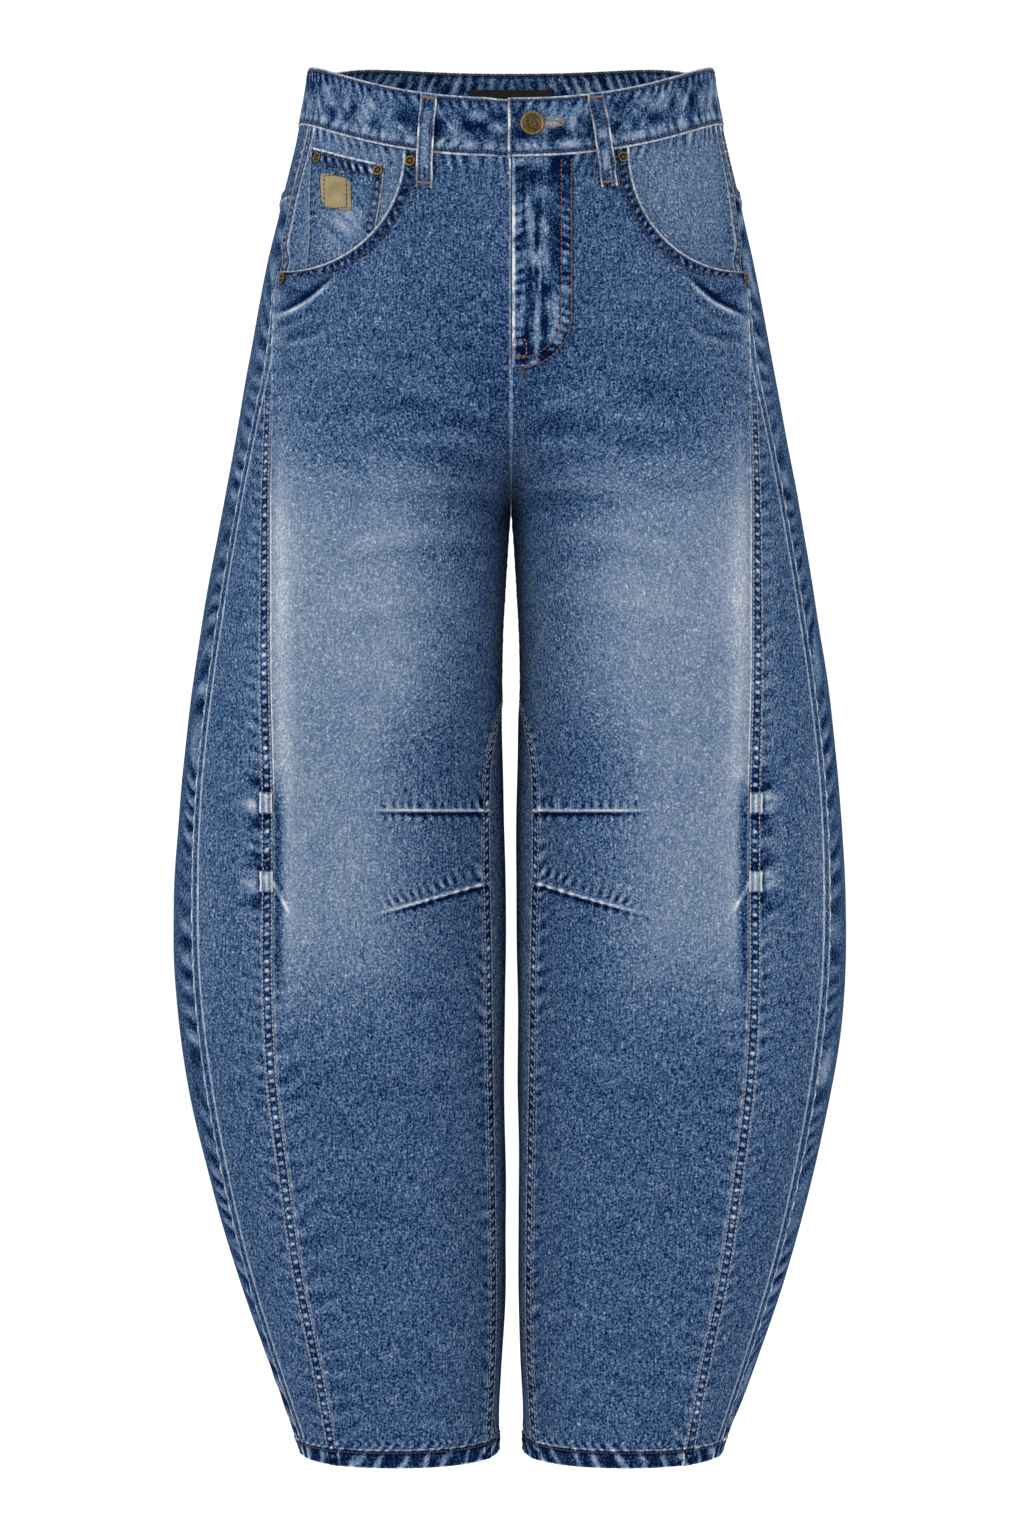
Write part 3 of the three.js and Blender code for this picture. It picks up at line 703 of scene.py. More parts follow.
    def mouth(self, side: Side, share: Array) -> tuple[Array, Array]:
        """Distance from the middle and level along the pocket mouth.

        Args:
            side: The half.
            share: Shares of the way, from the waistband to the side seam.

        Returns:
            The distances and the levels.
        """
        top = -self.waistband - self.gap
        x = mix(self.pocket_top[side], self.corner_x(side), 1 - np.cos(share * math.pi / 2))
        return x, mix(top, self.pocket_corner, np.sin(share * math.pi / 2))

    def beside_mouth(self, side: Side, share: Array, away: float) -> tuple[Array, Array]:
        """Distance from the middle and level along a line beside the pocket mouth, inside the front.

        Args:
            side: The half.
            share: Shares of the way.
            away: How far the line keeps from the mouth.

        Returns:
            The distances and the levels.
        """
        x, level = self.mouth(side, share)
        angle = self.angle_at(x, level)
        point = self.point(side, angle, self.row_height(level, angle))
        ahead = np.gradient(point, axis=0)
        inward = np.cross(self.normal(side, point), ahead) * -side.value
        inward /= np.linalg.norm(inward, axis=1, keepdims=True)
        return side.value * (point + away * inward)[:, 0], level + away * inward[:, 2]

    def lay(self, side: Side, rows: Rows, spread: Callable[[Array], Array]) -> Cloth:
        """Lays a piece of cloth on the skin.

        Args:
            side: The half that it is on.
            rows: Its rows.
            spread: Gives the distances of the columns, for the lengths of the rows.

        Returns:
            The cloth, flat on the skin.
        """
        levels, angles = np.stack(rows.levels, axis=1), np.stack(rows.angles, axis=1)
        share = np.linspace(0, 1, self.trace_steps + 1)
        steps = np.repeat(share[None, :], len(levels), axis=0)
        angle = between(angles, steps)
        traced = self.point(side, angle, self.row_height(between(levels, steps), angle))
        steps = np.linalg.norm(np.diff(traced, axis=1), axis=2)
        run = np.hstack([np.zeros((len(steps), 1)), np.cumsum(steps, axis=1)])
        trims = [np.broadcast_to(np.asarray(v, dtype=float), (len(run),)) for v in rows.trims]
        length = run[:, -1] - trims[0] - trims[1]
        start = spread(length)
        where = np.stack([np.interp(a, b, share) for a, b in zip(start + trims[0][:, None], run)])
        angle, level = between(angles, where), between(levels, where)
        points = self.point(side, angle, self.row_height(level, angle))
        return Cloth(side, points, self.normal(side, points), start, length, level)


FORM = Form()
# Distances of the close columns along a raised band, and the most of a row that they take.
HEAD = np.array([0, 0.45, 1.1, 2.4, 4.2, 6.0, 7.4, 8.0, 8.6, 9.3, 10.8, 13.0])
HEAD_SHARE = 0.42
# Levels of the close rows over the hem.
HEM_CLOSE = np.array([-969.5, -971.2, -971.8, -972.6, -973.6, -975.5, -978, -980.5, -982.2, -983.3, -984])


def spread(count: int, head: bool = False, tail: bool = False) -> Callable[[Array], Array]:
    """Places columns evenly, and close together along an edge with a raised band.

    Args:
        count: How many even steps.
        head: True for close columns at the start.
        tail: True for close columns at the end.

    Returns:
        The function that places them.
    """
    def place(length: Array) -> Array:
        """Gives the distances of the columns for each row."""
        close = HEAD[None, :] * np.minimum(1, HEAD_SHARE * length / HEAD[-1])[:, None]
        first = close[:, -1] if head else 0 * length
        last = length - (close[:, -1] if tail else 0)
        middle = mix(first[:, None], last[:, None], np.linspace(0, 1, count + 1))
        parts = [close[:, :-1]] if head else []
        parts.append(middle)
        if tail:
            parts.append(length[:, None] - close[:, -2::-1])
        return np.hstack(parts)
    return place


def levels_between(top: float, bottom: float, step: float) -> Array:
    """Even levels from top to bottom."""
    return np.linspace(top, bottom, int(abs(top - bottom) / step) + 2)


def steps_down(*runs: tuple[float, float, float]) -> Array:
    """Levels through runs of top, bottom and step, and then close together at the hem."""
    return np.concatenate([levels_between(*run) for run in runs] + [HEM_CLOSE])


class Nodes:
    """Adds nodes to a material or a group and joins them."""

    def __init__(self, tree: bpy.types.NodeTree) -> None:
        """Starts with an empty tree."""
        self.tree = tree
        tree.nodes.clear()

    def add(self, kind: str, inputs: dict[Any, Any] | None = None, **settings: Any) -> bpy.types.Node:
        """Adds a node.

        Args:
            kind: The node's type without its ShaderNode prefix.
            inputs: What goes into its sockets: a value, or the socket to link.
            **settings: Its other settings.

        Returns:
            The node.
        """
        node = self.tree.nodes.new(kind if kind.startswith("Node") else "ShaderNode" + kind)
        for name, value in settings.items():
            setattr(node, name, value)
        for key, value in (inputs or {}).items():
            if isinstance(value, Socket):
                self.tree.links.new(value, node.inputs[key])
            else:
                node.inputs[key].default_value = value
        return node

    def maths(self, operation: str, *values: Any, clamp: bool = False) -> Socket:
        """A sum on values."""
        return self.add("Math", dict(enumerate(values)), operation=operation, use_clamp=clamp).outputs[0]

    def ranged(self, value: Any, low: float, high: float, to_low: float = 0.0, to_high: float = 1.0,
               kind: str = "SMOOTHSTEP") -> Socket:
        """Maps a value's range to another one."""
        inputs = {"Value": value, "From Min": low, "From Max": high, "To Min": to_low, "To Max": to_high}
        return self.add("MapRange", inputs, interpolation_type=kind).outputs["Result"]

    def weighed(self, total: Any, value: Any, weight: float, middle: float = 0.0) -> Socket:
        """Adds to a total a value less its middle, times a weight."""
        share = self.maths("SUBTRACT", value, middle) if middle else value
        return self.maths("ADD", total, self.maths("MULTIPLY", share, weight))

    def noise(self, vector: Any, scale: float, detail: float = 2.0, roughness: float = 0.5) -> Socket:
        """Noise from 0 to 1."""
        inputs = {"Vector": vector, "Scale": scale, "Detail": detail, "Roughness": roughness}
        return self.add("TexNoise", inputs).outputs["Fac"]

    def ramp(self, value: Any, stops: Sequence[tuple[float, Colour]], exposure: float = EXPOSURE) -> Socket:
        """A run of colours, seen under light that is brighter by the inverse of exposure.

        Args:
            value: What picks the colour.
            stops: Places and colours, in order.
            exposure: Share of the colour that is kept.

        Returns:
            The colour.
        """
        node = self.add("ValToRGB", {"Fac": value})
        while len(node.color_ramp.elements) < len(stops):
            node.color_ramp.elements.new(0.5)
        for element, (place, colour) in zip(node.color_ramp.elements, stops):
            element.position = place
            element.color = [exposure * part for part in linear(colour)[:3]] + [1.0]
        return node.outputs["Color"]

    def read(self, name: str) -> Socket:
        """A number that the cloth keeps at each point."""
        return self.add("Attribute", attribute_name=name).outputs["Fac"]

    def place(self) -> Socket:
        """Where each point of the piece lies."""
        return self.add("TexCoord").outputs["Object"]

    def surface(self, relief: Any, strength: float, distance: float, looks: dict[str, Any]) -> None:
        """Ends a material with its shader.

        Args:
            relief: Height of the fine relief.
            strength: Strength of the relief.
            distance: Its depth in metres.
            looks: The shader's other inputs.
        """
        raised = self.add("Bump", {"Height": relief, "Strength": strength, "Distance": distance})
        shader = self.add("BsdfPrincipled", {"Normal": raised.outputs["Normal"], **looks})
        self.add("OutputMaterial", {"Surface": shader.outputs["BSDF"]})


def linear(colour: Colour) -> tuple[float, float, float, float]:
    """Turns a screen colour of 0 to 255 into linear light."""
    parts = [c / 255 for c in colour]
    return (*[c / 12.92 if c <= 0.04045 else ((c + 0.055) / 1.055) ** 2.4 for c in parts], 1.0)


def new_group(name: str, inputs: dict[str, float],
              outputs: dict[str, str]) -> tuple[bpy.types.NodeTree, Nodes, Any]:
    """Starts a shader node group.

    Args:
        name: Its name.
        inputs: Names and usual values of its inputs.
        outputs: Names and socket types of its outputs.

    Returns:
        The tree, its builder and the node that gives its inputs.
    """
    tree = bpy.data.node_groups.new(name, "ShaderNodeTree")
    for key, value in inputs.items():
        tree.interface.new_socket(key, in_out="INPUT", socket_type="NodeSocketFloat").default_value = value
    for key, kind in outputs.items():
        tree.interface.new_socket(key, in_out="OUTPUT", socket_type=kind)
    nodes = Nodes(tree)
    return tree, nodes, nodes.add("NodeGroupInput")


@dataclass(frozen=True)
class DenimWash:
    """Stonewashed denim, from the blue of its valleys to the worn white of its folds."""

    stops: tuple[tuple[float, Colour], ...] = (
        (0.0, (8, 22, 56)),
        (0.2, (38, 66, 108)),
        (0.35, (64, 97, 138)),
        (0.55, (101, 127, 160)),
        (0.7, (134, 151, 175)),
        (0.85, (178, 188, 205)),
        (1.0, (238, 241, 245)),
    )
    grain_scale: float = 620.0
    speck_scale: float = 1500.0
    cloud_scale: float = 42.0
    slub_scale: tuple[float, float, float] = (900.0, 120.0, 1.0)
    twill_scale: float = 176.84404
    twill_turn: float = 63

    def group(self) -> bpy.types.NodeTree:
        """Builds the group: colour, height and roughness from the wash, the wear with its painted highlights
        and shade, and the worn edges.
        """
        outputs = {"Color": "NodeSocketColor", "Height": "NodeSocketFloat", "Roughness": "NodeSocketFloat"}
        tree, nodes, given = new_group("denim_wash", {"Wash": 0.3, "Rub_and_shading": 0.0, "Worn": 0.0}, outputs)
        place = nodes.place()
        cloth = nodes.add("UVMap", uv_map="Cloth").outputs["UV"]
        slub = nodes.add("Mapping", {"Vector": cloth, "Scale": self.slub_scale}).outputs[0]
        grain = nodes.maths("SUBTRACT", nodes.noise(place, self.grain_scale, 2.0, 0.65), 0.5)
        grain = nodes.weighed(grain, nodes.noise(place, self.speck_scale, 1.0), 0.5, 0.5)
        grain = nodes.weighed(grain, nodes.noise(slub, 1.0, 1.0), 0.35, 0.5)
        clouds = nodes.noise(place, self.cloud_scale, 3.0, 0.6)
        value = nodes.weighed(given.outputs["Wash"], clouds, 0.16, 0.5)
        value = nodes.weighed(value, given.outputs["Rub_and_shading"], 0.3)
        value = nodes.weighed(value, given.outputs["Worn"], 0.62)
        grain = nodes.maths("MULTIPLY", grain, nodes.ranged(value, 0.36, 0.8, 1.8, 0.62))
        value = nodes.maths("ADD", value, grain, clamp=True)
        turn = (0.0, 0.0, math.radians(self.twill_turn))
        turned = nodes.add("Mapping", {"Vector": cloth, "Rotation": turn}).outputs[0]
        twill = nodes.add("TexWave", {"Vector": turned, "Scale": self.twill_scale, "Distortion": 0.6,
                                      "Detail": 1.0, "Detail Scale": 2.0}).outputs["Fac"]
        height = nodes.maths("ADD", nodes.maths("MULTIPLY", twill, 0.35), nodes.maths("MULTIPLY", grain, 1.2))
        nodes.add("NodeGroupOutput", {
            "Color": nodes.ramp(value, self.stops),
            "Height": height,
            "Roughness": nodes.ranged(value, 0.0, 1.0, 0.96, 0.8, "LINEAR"),
        })
        return tree


@dataclass(frozen=True)
class WornLine:
    """The pale line that wear leaves on a folded edge, whole or in spots."""

    scale: float = 260.0
    period: float = 6.4

    def group(self) -> bpy.types.NodeTree:
        """Builds the group: a mask from the distance to the fold."""
        inputs = {"Distance": 0.0, "Along": 0.0, "Place": 0.0, "Width": 0.8, "Strength": 1.0, "Spots": 0.0}
        tree, nodes, given = new_group("worn_line", inputs, {"Mask": "NodeSocketFloat"})
        broken = nodes.noise(nodes.place(), self.scale, 2.0, 0.6)
        away = nodes.maths("SUBTRACT", given.outputs["Distance"], given.outputs["Place"])
        away = nodes.maths("ABSOLUTE", away)
        share = nodes.maths("DIVIDE", away, given.outputs["Width"])
        line = nodes.ranged(share, 0.35, 1.15, 1.0, 0.0)
        line = nodes.maths("MULTIPLY", line, nodes.ranged(broken, 0.3, 0.55, 0.75, 1.0))
        phase = nodes.maths("MULTIPLY", given.outputs["Along"], math.tau / self.period)
        phase = nodes.maths("COSINE", nodes.maths("ADD", phase, nodes.maths("MULTIPLY", broken, 3.0)))
        gap = nodes.maths("MULTIPLY", nodes.ranged(phase, 0.0, 0.8, 1.0, 0.0), given.outputs["Spots"])
        line = nodes.maths("MULTIPLY", line, nodes.maths("SUBTRACT", 1.0, gap))
        nodes.add("NodeGroupOutput", {"Mask": nodes.maths("MULTIPLY", line, given.outputs["Strength"])})
        return tree


@dataclass(frozen=True)
class Worn:
    """One worn fold of a piece: the edge it follows, how far off, how wide and how pale, and where."""

    edge: Edge
    place: float = 0.2
    width: float = 1.2
    strength: float = 1.0
    zoned: bool = False
    spots: bool = False


HEM_RIDGE = Worn(BOTTOM, 12.7, 0.9, 0.6)
HEM_EDGE = Worn(BOTTOM, 0.3, 0.9, 0.5)


@dataclass(frozen=True)
class Finish:
    """A finish: its name, and the material that shows it."""

    name: str

    def dress(self, nodes: Nodes, groups: Groups) -> None:
        """Builds its nodes.

        Args:
            nodes: The empty tree.
            groups: The shared groups.
        """
        raise NotImplementedError

    def material(self, groups: Groups) -> bpy.types.Material:
        """Makes the material.

        Args:
            groups: The shared groups.

        Returns:
            The material.
        """
        made = bpy.data.materials.new(self.name)
        made.use_nodes = True
        self.dress(Nodes(made.node_tree), groups)
        return made


@dataclass(frozen=True)
class DenimFinish(Finish):
    """Denim of one piece: its wash and its worn folds."""

    wash: float = 0.3
    worn: tuple[Worn, ...] = ()

    def dress(self, nodes: Nodes, groups: Groups) -> None:
        """Builds its nodes."""
        total: Any = 0.0
        for line in self.worn:
            along = "start" if line.edge in (TOP, BOTTOM) else "top"
            shown = nodes.add("Group", {
                "Distance": nodes.read(line.edge.value), "Along": nodes.read(along), "Place": line.place,
                "Width": line.width, "Strength": line.strength, "Spots": float(line.spots),
            }, node_tree=groups["worn_line"]).outputs["Mask"]
            if line.zoned:
                shown = nodes.maths("MULTIPLY", shown, nodes.read("zone"))
            total = nodes.maths("MAXIMUM", total, shown)
        wash = nodes.maths("ADD", nodes.read("fade"), self.wash)
        denim = nodes.add("Group", {"Wash": wash, "Rub_and_shading": nodes.read("rub_and_shading"), "Worn": total},
                          node_tree=groups["denim_wash"])
        nodes.surface(denim.outputs["Height"], 0.5, 0.0004, {
            "Base Color": denim.outputs["Color"],
            "Roughness": denim.outputs["Roughness"],
            "Specular IOR Level": 0.0,
        })


@dataclass(frozen=True)
class ThreadFinish(Finish):
    """Sewing thread with the light and dark of its twist."""

    dark: Colour
    light: Colour
    tone_scale: float = 420.0
    twist_scale: float = 3000.0

    def dress(self, nodes: Nodes, groups: Groups) -> None:
        """Builds its nodes."""
        place = nodes.place()
        tone = nodes.noise(place, self.tone_scale, 2.0, 0.6)
        nodes.surface(nodes.noise(place, self.twist_scale, 0.0), 0.4, 0.0002, {
            "Base Color": nodes.ramp(tone, ((0.35, self.dark), (0.65, self.light))),
            "Roughness": 0.62, "Sheen Weight": 0.1,
        })


@dataclass(frozen=True)
class MetalFinish(Finish):
    """Antique brass, dark in its hollows and rubbed bright on its rims."""

    name: str = "antique_brass"
    dark: Colour = (36, 28, 18)
    mid: Colour = (98, 82, 50)
    light: Colour = (166, 142, 94)
    scale: float = 700.0

    def dress(self, nodes: Nodes, groups: Groups) -> None:
        """Builds its nodes."""
        patina = nodes.noise(nodes.place(), self.scale, 3.0, 0.6)
        worn = nodes.weighed(patina, nodes.read("rub_and_shading"), 0.5)
        nodes.surface(patina, 0.3, 0.0002, {
            "Base Color": nodes.ramp(worn, ((0.2, self.dark), (0.5, self.mid), (0.9, self.light)), 0.6),
            "Roughness": nodes.ranged(patina, 0.3, 0.8, 0.32, 0.6, "LINEAR"),
            "Metallic": 0.85,
        })


@dataclass(frozen=True)
class PlainFinish(Finish):
    """A plain woven label or a smooth patch."""

    dark: Colour
    light: Colour
    scale: float = 900.0
    roughness: float = 0.7

    def dress(self, nodes: Nodes, groups: Groups) -> None:
        """Builds its nodes."""
        place = nodes.place()
        fine = nodes.noise(place, self.scale, 2.0, 0.6)
        tone = nodes.maths("MULTIPLY", fine, 0.5)
        tone = nodes.weighed(tone, nodes.noise(place, self.scale / 12), 0.5)
        nodes.surface(fine, 0.35, 0.0003, {
            "Base Color": nodes.ramp(tone, ((0.35, self.dark), (0.65, self.light)), 0.5),
            "Roughness": self.roughness, "Specular IOR Level": 0.2,
        })


BROWN = ThreadFinish("thread_brown", (26, 19, 18), (66, 48, 39))
RUST = ThreadFinish("thread_rust", (124, 72, 40), (186, 122, 74))
UMBER = ThreadFinish("thread_umber", (84, 50, 36), (138, 90, 64))
PALE = ThreadFinish("thread_grey", (112, 120, 140), (182, 186, 200))
GOLD = ThreadFinish("thread_gold", (126, 88, 44), (196, 152, 92))
BRASS = MetalFinish()
PATCH_FINISH = PlainFinish("patch_tan", (128, 112, 76), (170, 154, 114), 1200.0, 0.62)
LABEL_FINISH = PlainFinish("label_black", (10, 10, 10), (26, 24, 22), 1600.0, 0.8)


class Workshop:
    """Makes meshes and materials once each and puts pieces into the scene."""

    def __init__(self) -> None:
        """Builds the groups that the denim materials share."""
        self.groups = {"denim_wash": DenimWash().group(), "worn_line": WornLine().group()}
        self.finishes: dict[str, bpy.types.Material] = {}

    def finish(self, finish: Finish) -> bpy.types.Material:
        """The material of a finish.

        Args:
            finish: The finish.

        Returns:
            Its material, made once.
        """
        if finish.name not in self.finishes:
            self.finishes[finish.name] = finish.material(self.groups)
        return self.finishes[finish.name]

    def show(self, name: str, mesh: bpy.types.Mesh, finish: Finish) -> bpy.types.Object:
        """Puts a mesh into the scene as a piece.

        Args:
            name: The piece's name.
            mesh: Its mesh.
            finish: Its finish.

        Returns:
            The piece.
        """
        piece = bpy.data.objects.new(name, mesh)
        bpy.context.scene.collection.objects.link(piece)
        mesh.materials.append(self.finish(finish))
        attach(piece, "root")
        return piece

    def cloth(self, name: str, cloth: Cloth, wall: float, finish: Finish, slot: str,
              flip: bool = False) -> bpy.types.Object:
        """Makes a piece of cloth with its wall.

        Args:
            name: The piece's name.
            cloth: Its grid.
            wall: Thickness of the cloth.
            finish: Its finish.
            slot: The record's material slot; not used.
            flip: True where the grid runs the other way round.

        Returns:
            The piece.
        """
        rows, columns = cloth.start.shape
        shape = bmesh.new()
        bmesh.ops.create_grid(shape, x_segments=columns - 1, y_segments=rows - 1, size=1.0)
        for edge in shape.edges:
            edge.smooth = not edge.is_boundary
        mesh = bpy.data.meshes.new(name)
        shape.to_mesh(mesh)
        shape.free()
        flat = np.empty(len(mesh.vertices) * 3)
        mesh.vertices.foreach_get("co", flat)
        column = np.rint((flat[0::3] + 1) / 2 * (columns - 1)).astype(int)
        row = np.rint((1 - flat[1::3]) / 2 * (rows - 1)).astype(int)
        mesh.vertices.foreach_set("co", (cloth.surface[row, column] * MM).ravel())
        for key in ("start", "end", "top", "bottom", "fade", "rub_and_shading", "zone"):
            values = getattr(cloth, key)[row, column].astype(np.float32)
            mesh.attributes.new(key, "FLOAT", "POINT").data.foreach_set("value", values)
        corners = np.empty(len(mesh.loops), dtype=np.int32)
        mesh.loops.foreach_get("vertex_index", corners)
        uv = np.stack([cloth.start[row, column], -cloth.top[row, column]], axis=1) * MM
        mesh.uv_layers.new(name="Cloth").data.foreach_set("uv", uv[corners].astype(np.float32).ravel())
        if (cloth.side is Side.RIGHT) != flip:
            mesh.flip_normals()
        mesh.shade_smooth()
        piece = self.show(name, mesh, finish)
        solid = piece.modifiers.new("wall", "SOLIDIFY")
        solid.thickness = wall * MM
        solid.offset = -1
        return piece

    def stitches(self, name: str, sewing: "Sewing", finish: ThreadFinish, *, pitch: float = 3.2,
                 length: float = 3.0, radius: float = 0.5, lie: float = 0.12) -> bpy.types.Object:
        """Sews the lines and the bars of one thread.

        Args:
            name: The piece's name.
            sewing: Its lines and bars.
            finish: The thread.
            pitch: From one stitch to the next.
            length: Length of a stitch.
            radius: Half thickness of the thread.
            lie: Height of its middle over the cloth.

        Returns:
            The piece.
        """
        whole = bmesh.new()
        for points, normals in sewing.lines:
            if len(points) < 2:
                continue
            run = np.insert(np.cumsum(np.linalg.norm(np.diff(points, axis=0), axis=1)), 0, 0.0)
            places = np.arange(pitch / 2, run[-1], pitch)
            forward = at(places + length / 2, run, points) - at(places - length / 2, run, points)
            shape = bmesh.new()
            for centre, ahead, up in zip(at(places, run, points), forward, at(places, run, normals)):
                add_stitch(shape, Vector(centre), Vector(ahead), Vector(up), length, radius, lie)
            join(whole, shape)
        for centre, along, up, size, width in sewing.bars:
            shape = bmesh.new()
            add_bar(shape, Vector(centre), Vector(along), Vector(up), size, width)
            join(whole, shape)
        mesh = bpy.data.meshes.new(name)
        whole.to_mesh(mesh)
        whole.free()
        mesh.shade_smooth()
        return self.show(name, mesh, finish)


def at(where: Array, run: Array, rows: Array) -> Array:
    """Reads points or directions at distances along a line that run measures.

    Args:
        where: The distances.
        run: Distance of each row along the line.
        rows: Points or directions of the line.

    Returns:
        The points or directions there.
    """
    return np.stack([np.interp(where, run, rows[:, k]) for k in range(3)], axis=1)


def join(whole: bmesh.types.BMesh, shape: bmesh.types.BMesh) -> None:
    """Adds a shape to the whole, and frees it.

    Args:
        whole: What it is added to.
        shape: The shape.
    """
    mesh = bpy.data.meshes.new("part")
    shape.to_mesh(mesh)
    shape.free()
    whole.from_mesh(mesh)
    bpy.data.meshes.remove(mesh)


def add_stitch(shape: bmesh.types.BMesh, centre: Vector, forward: Vector, up: Vector, length: float,
               radius: float, lie: float) -> None:
    """Adds one stitch to a mesh: a short thread along forward, lying on the cloth that faces up.

    Args:
        shape: The mesh.
        centre: Middle of the stitch.
        forward: Its direction.
        up: Out of the cloth.
        length: Its length.
        radius: Half thickness of the thread.
        lie: Height of its middle over the cloth.
    """
    forward = forward.normalized()
    across = forward.cross(up).normalized()
    up = across.cross(forward)
    turn = Matrix((across, up, forward)).transposed().to_4x4()
    size = Matrix.Diagonal((radius, radius, length / 2, 1.0))
    matrix = Matrix.Scale(MM, 4) @ Matrix.Translation(centre + up * lie) @ turn @ size
    bmesh.ops.create_icosphere(shape, subdivisions=1, radius=1.0, matrix=matrix)


def add_bar(shape: bmesh.types.BMesh, middle: Vector, along: Vector, up: Vector, length: float,
            width: float, pitch: float = 0.55, slant: float = 0.18) -> None:
    """Adds a bar of close threads, length by width, to a mesh.

    Args:
        shape: The mesh.
        middle: Middle of the bar.
        along: Its direction.
        up: Out of the cloth.
        length: Its length.
        width: Its width.
        pitch: From one thread to the next.
        slant: How far the threads lean.
    """
    along = along.normalized()
    across = up.cross(along).normalized()
    count = max(3, int(length / pitch))
    for k in range(count):
        centre = middle + along * (k / (count - 1) - 0.5) * length
        add_stitch(shape, centre, across + along * slant * (-1) ** k, up, width, 0.32, 0.15)


def area_of(cloth: Cloth) -> float:
    """Area of a piece of cloth in square metres."""
    a, b = np.diff(cloth.points[:-1], axis=1), np.diff(cloth.points[:, :-1], axis=0)
    return float(np.linalg.norm(np.cross(a, b), axis=2).sum()) * MM * MM


class Trim(Enum):
    """What is sewn with which thread."""

    BROWN = BROWN
    RUST = RUST
    UMBER = UMBER
    PALE = PALE
    GOLD = GOLD


@dataclass
class Sewing:
    """Lines and bars of thread on one piece of cloth."""

    thread: Trim = Trim.BROWN
    lines: list[Line] = field(default_factory=list)
    bars: list[tuple[Array, Array, Array, float, float]] = field(default_factory=list)


@dataclass
class Panel:
    """A piece of cloth, its place, its finish and what is sewn on it."""

    side: Side
    wall: float = 2.0
    slot: str = "denim"
    flip: bool = False
    stem: str = ""
    sided: bool = True
    seeds: tuple[int, int] = (0, 0)
    wash: float = 0.3
    worn: tuple[Worn, ...] = ()

    @property
    def name(self) -> str:
        """Name of the CAD node that it stands for."""
        return f"{self.stem}_{self.side.word}" if self.sided else self.stem

    @property
    def seed(self) -> int:
        """Picks the patterns of its cloth, other ones for each side."""
        return self.seeds[self.side is Side.RIGHT]

    def cloth(self) -> Cloth:
        """Lays and raises the cloth."""
        raise NotImplementedError

    def finish(self) -> Finish:
        """Its finish."""
        return DenimFinish(f"denim_{self.name}", self.wash, self.worn)

    def sewing(self, cloth: Cloth) -> list[Sewing]:
        """What is sewn on it.

        Args:
            cloth: The cloth, laid and raised.

        Returns:
            Lines and bars, thread by thread.
        """
        return []

    def build(self, shop: Workshop) -> None:
        """Puts the panel and its threads into the scene.

        Args:
            shop: Makes the meshes.
        """
        cloth = self.cloth()
        piece = shop.cloth(self.name + "_cloth", cloth, self.wall, self.finish(), self.slot, self.flip)
        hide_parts(self.name)
        for sewing in self.sewing(cloth):
            name = f"{self.name}_{sewing.thread.value.name}"
            shop.stitches(name, sewing, sewing.thread.value)
        width = float((cloth.start + cloth.end).max()) * MM
        length = float(cloth.top[-1].max()) * MM
        area = area_of(cloth)
        LOG.info("%s: flat %.3f x %.3f m, %.4f m2", self.name, width, length, area)


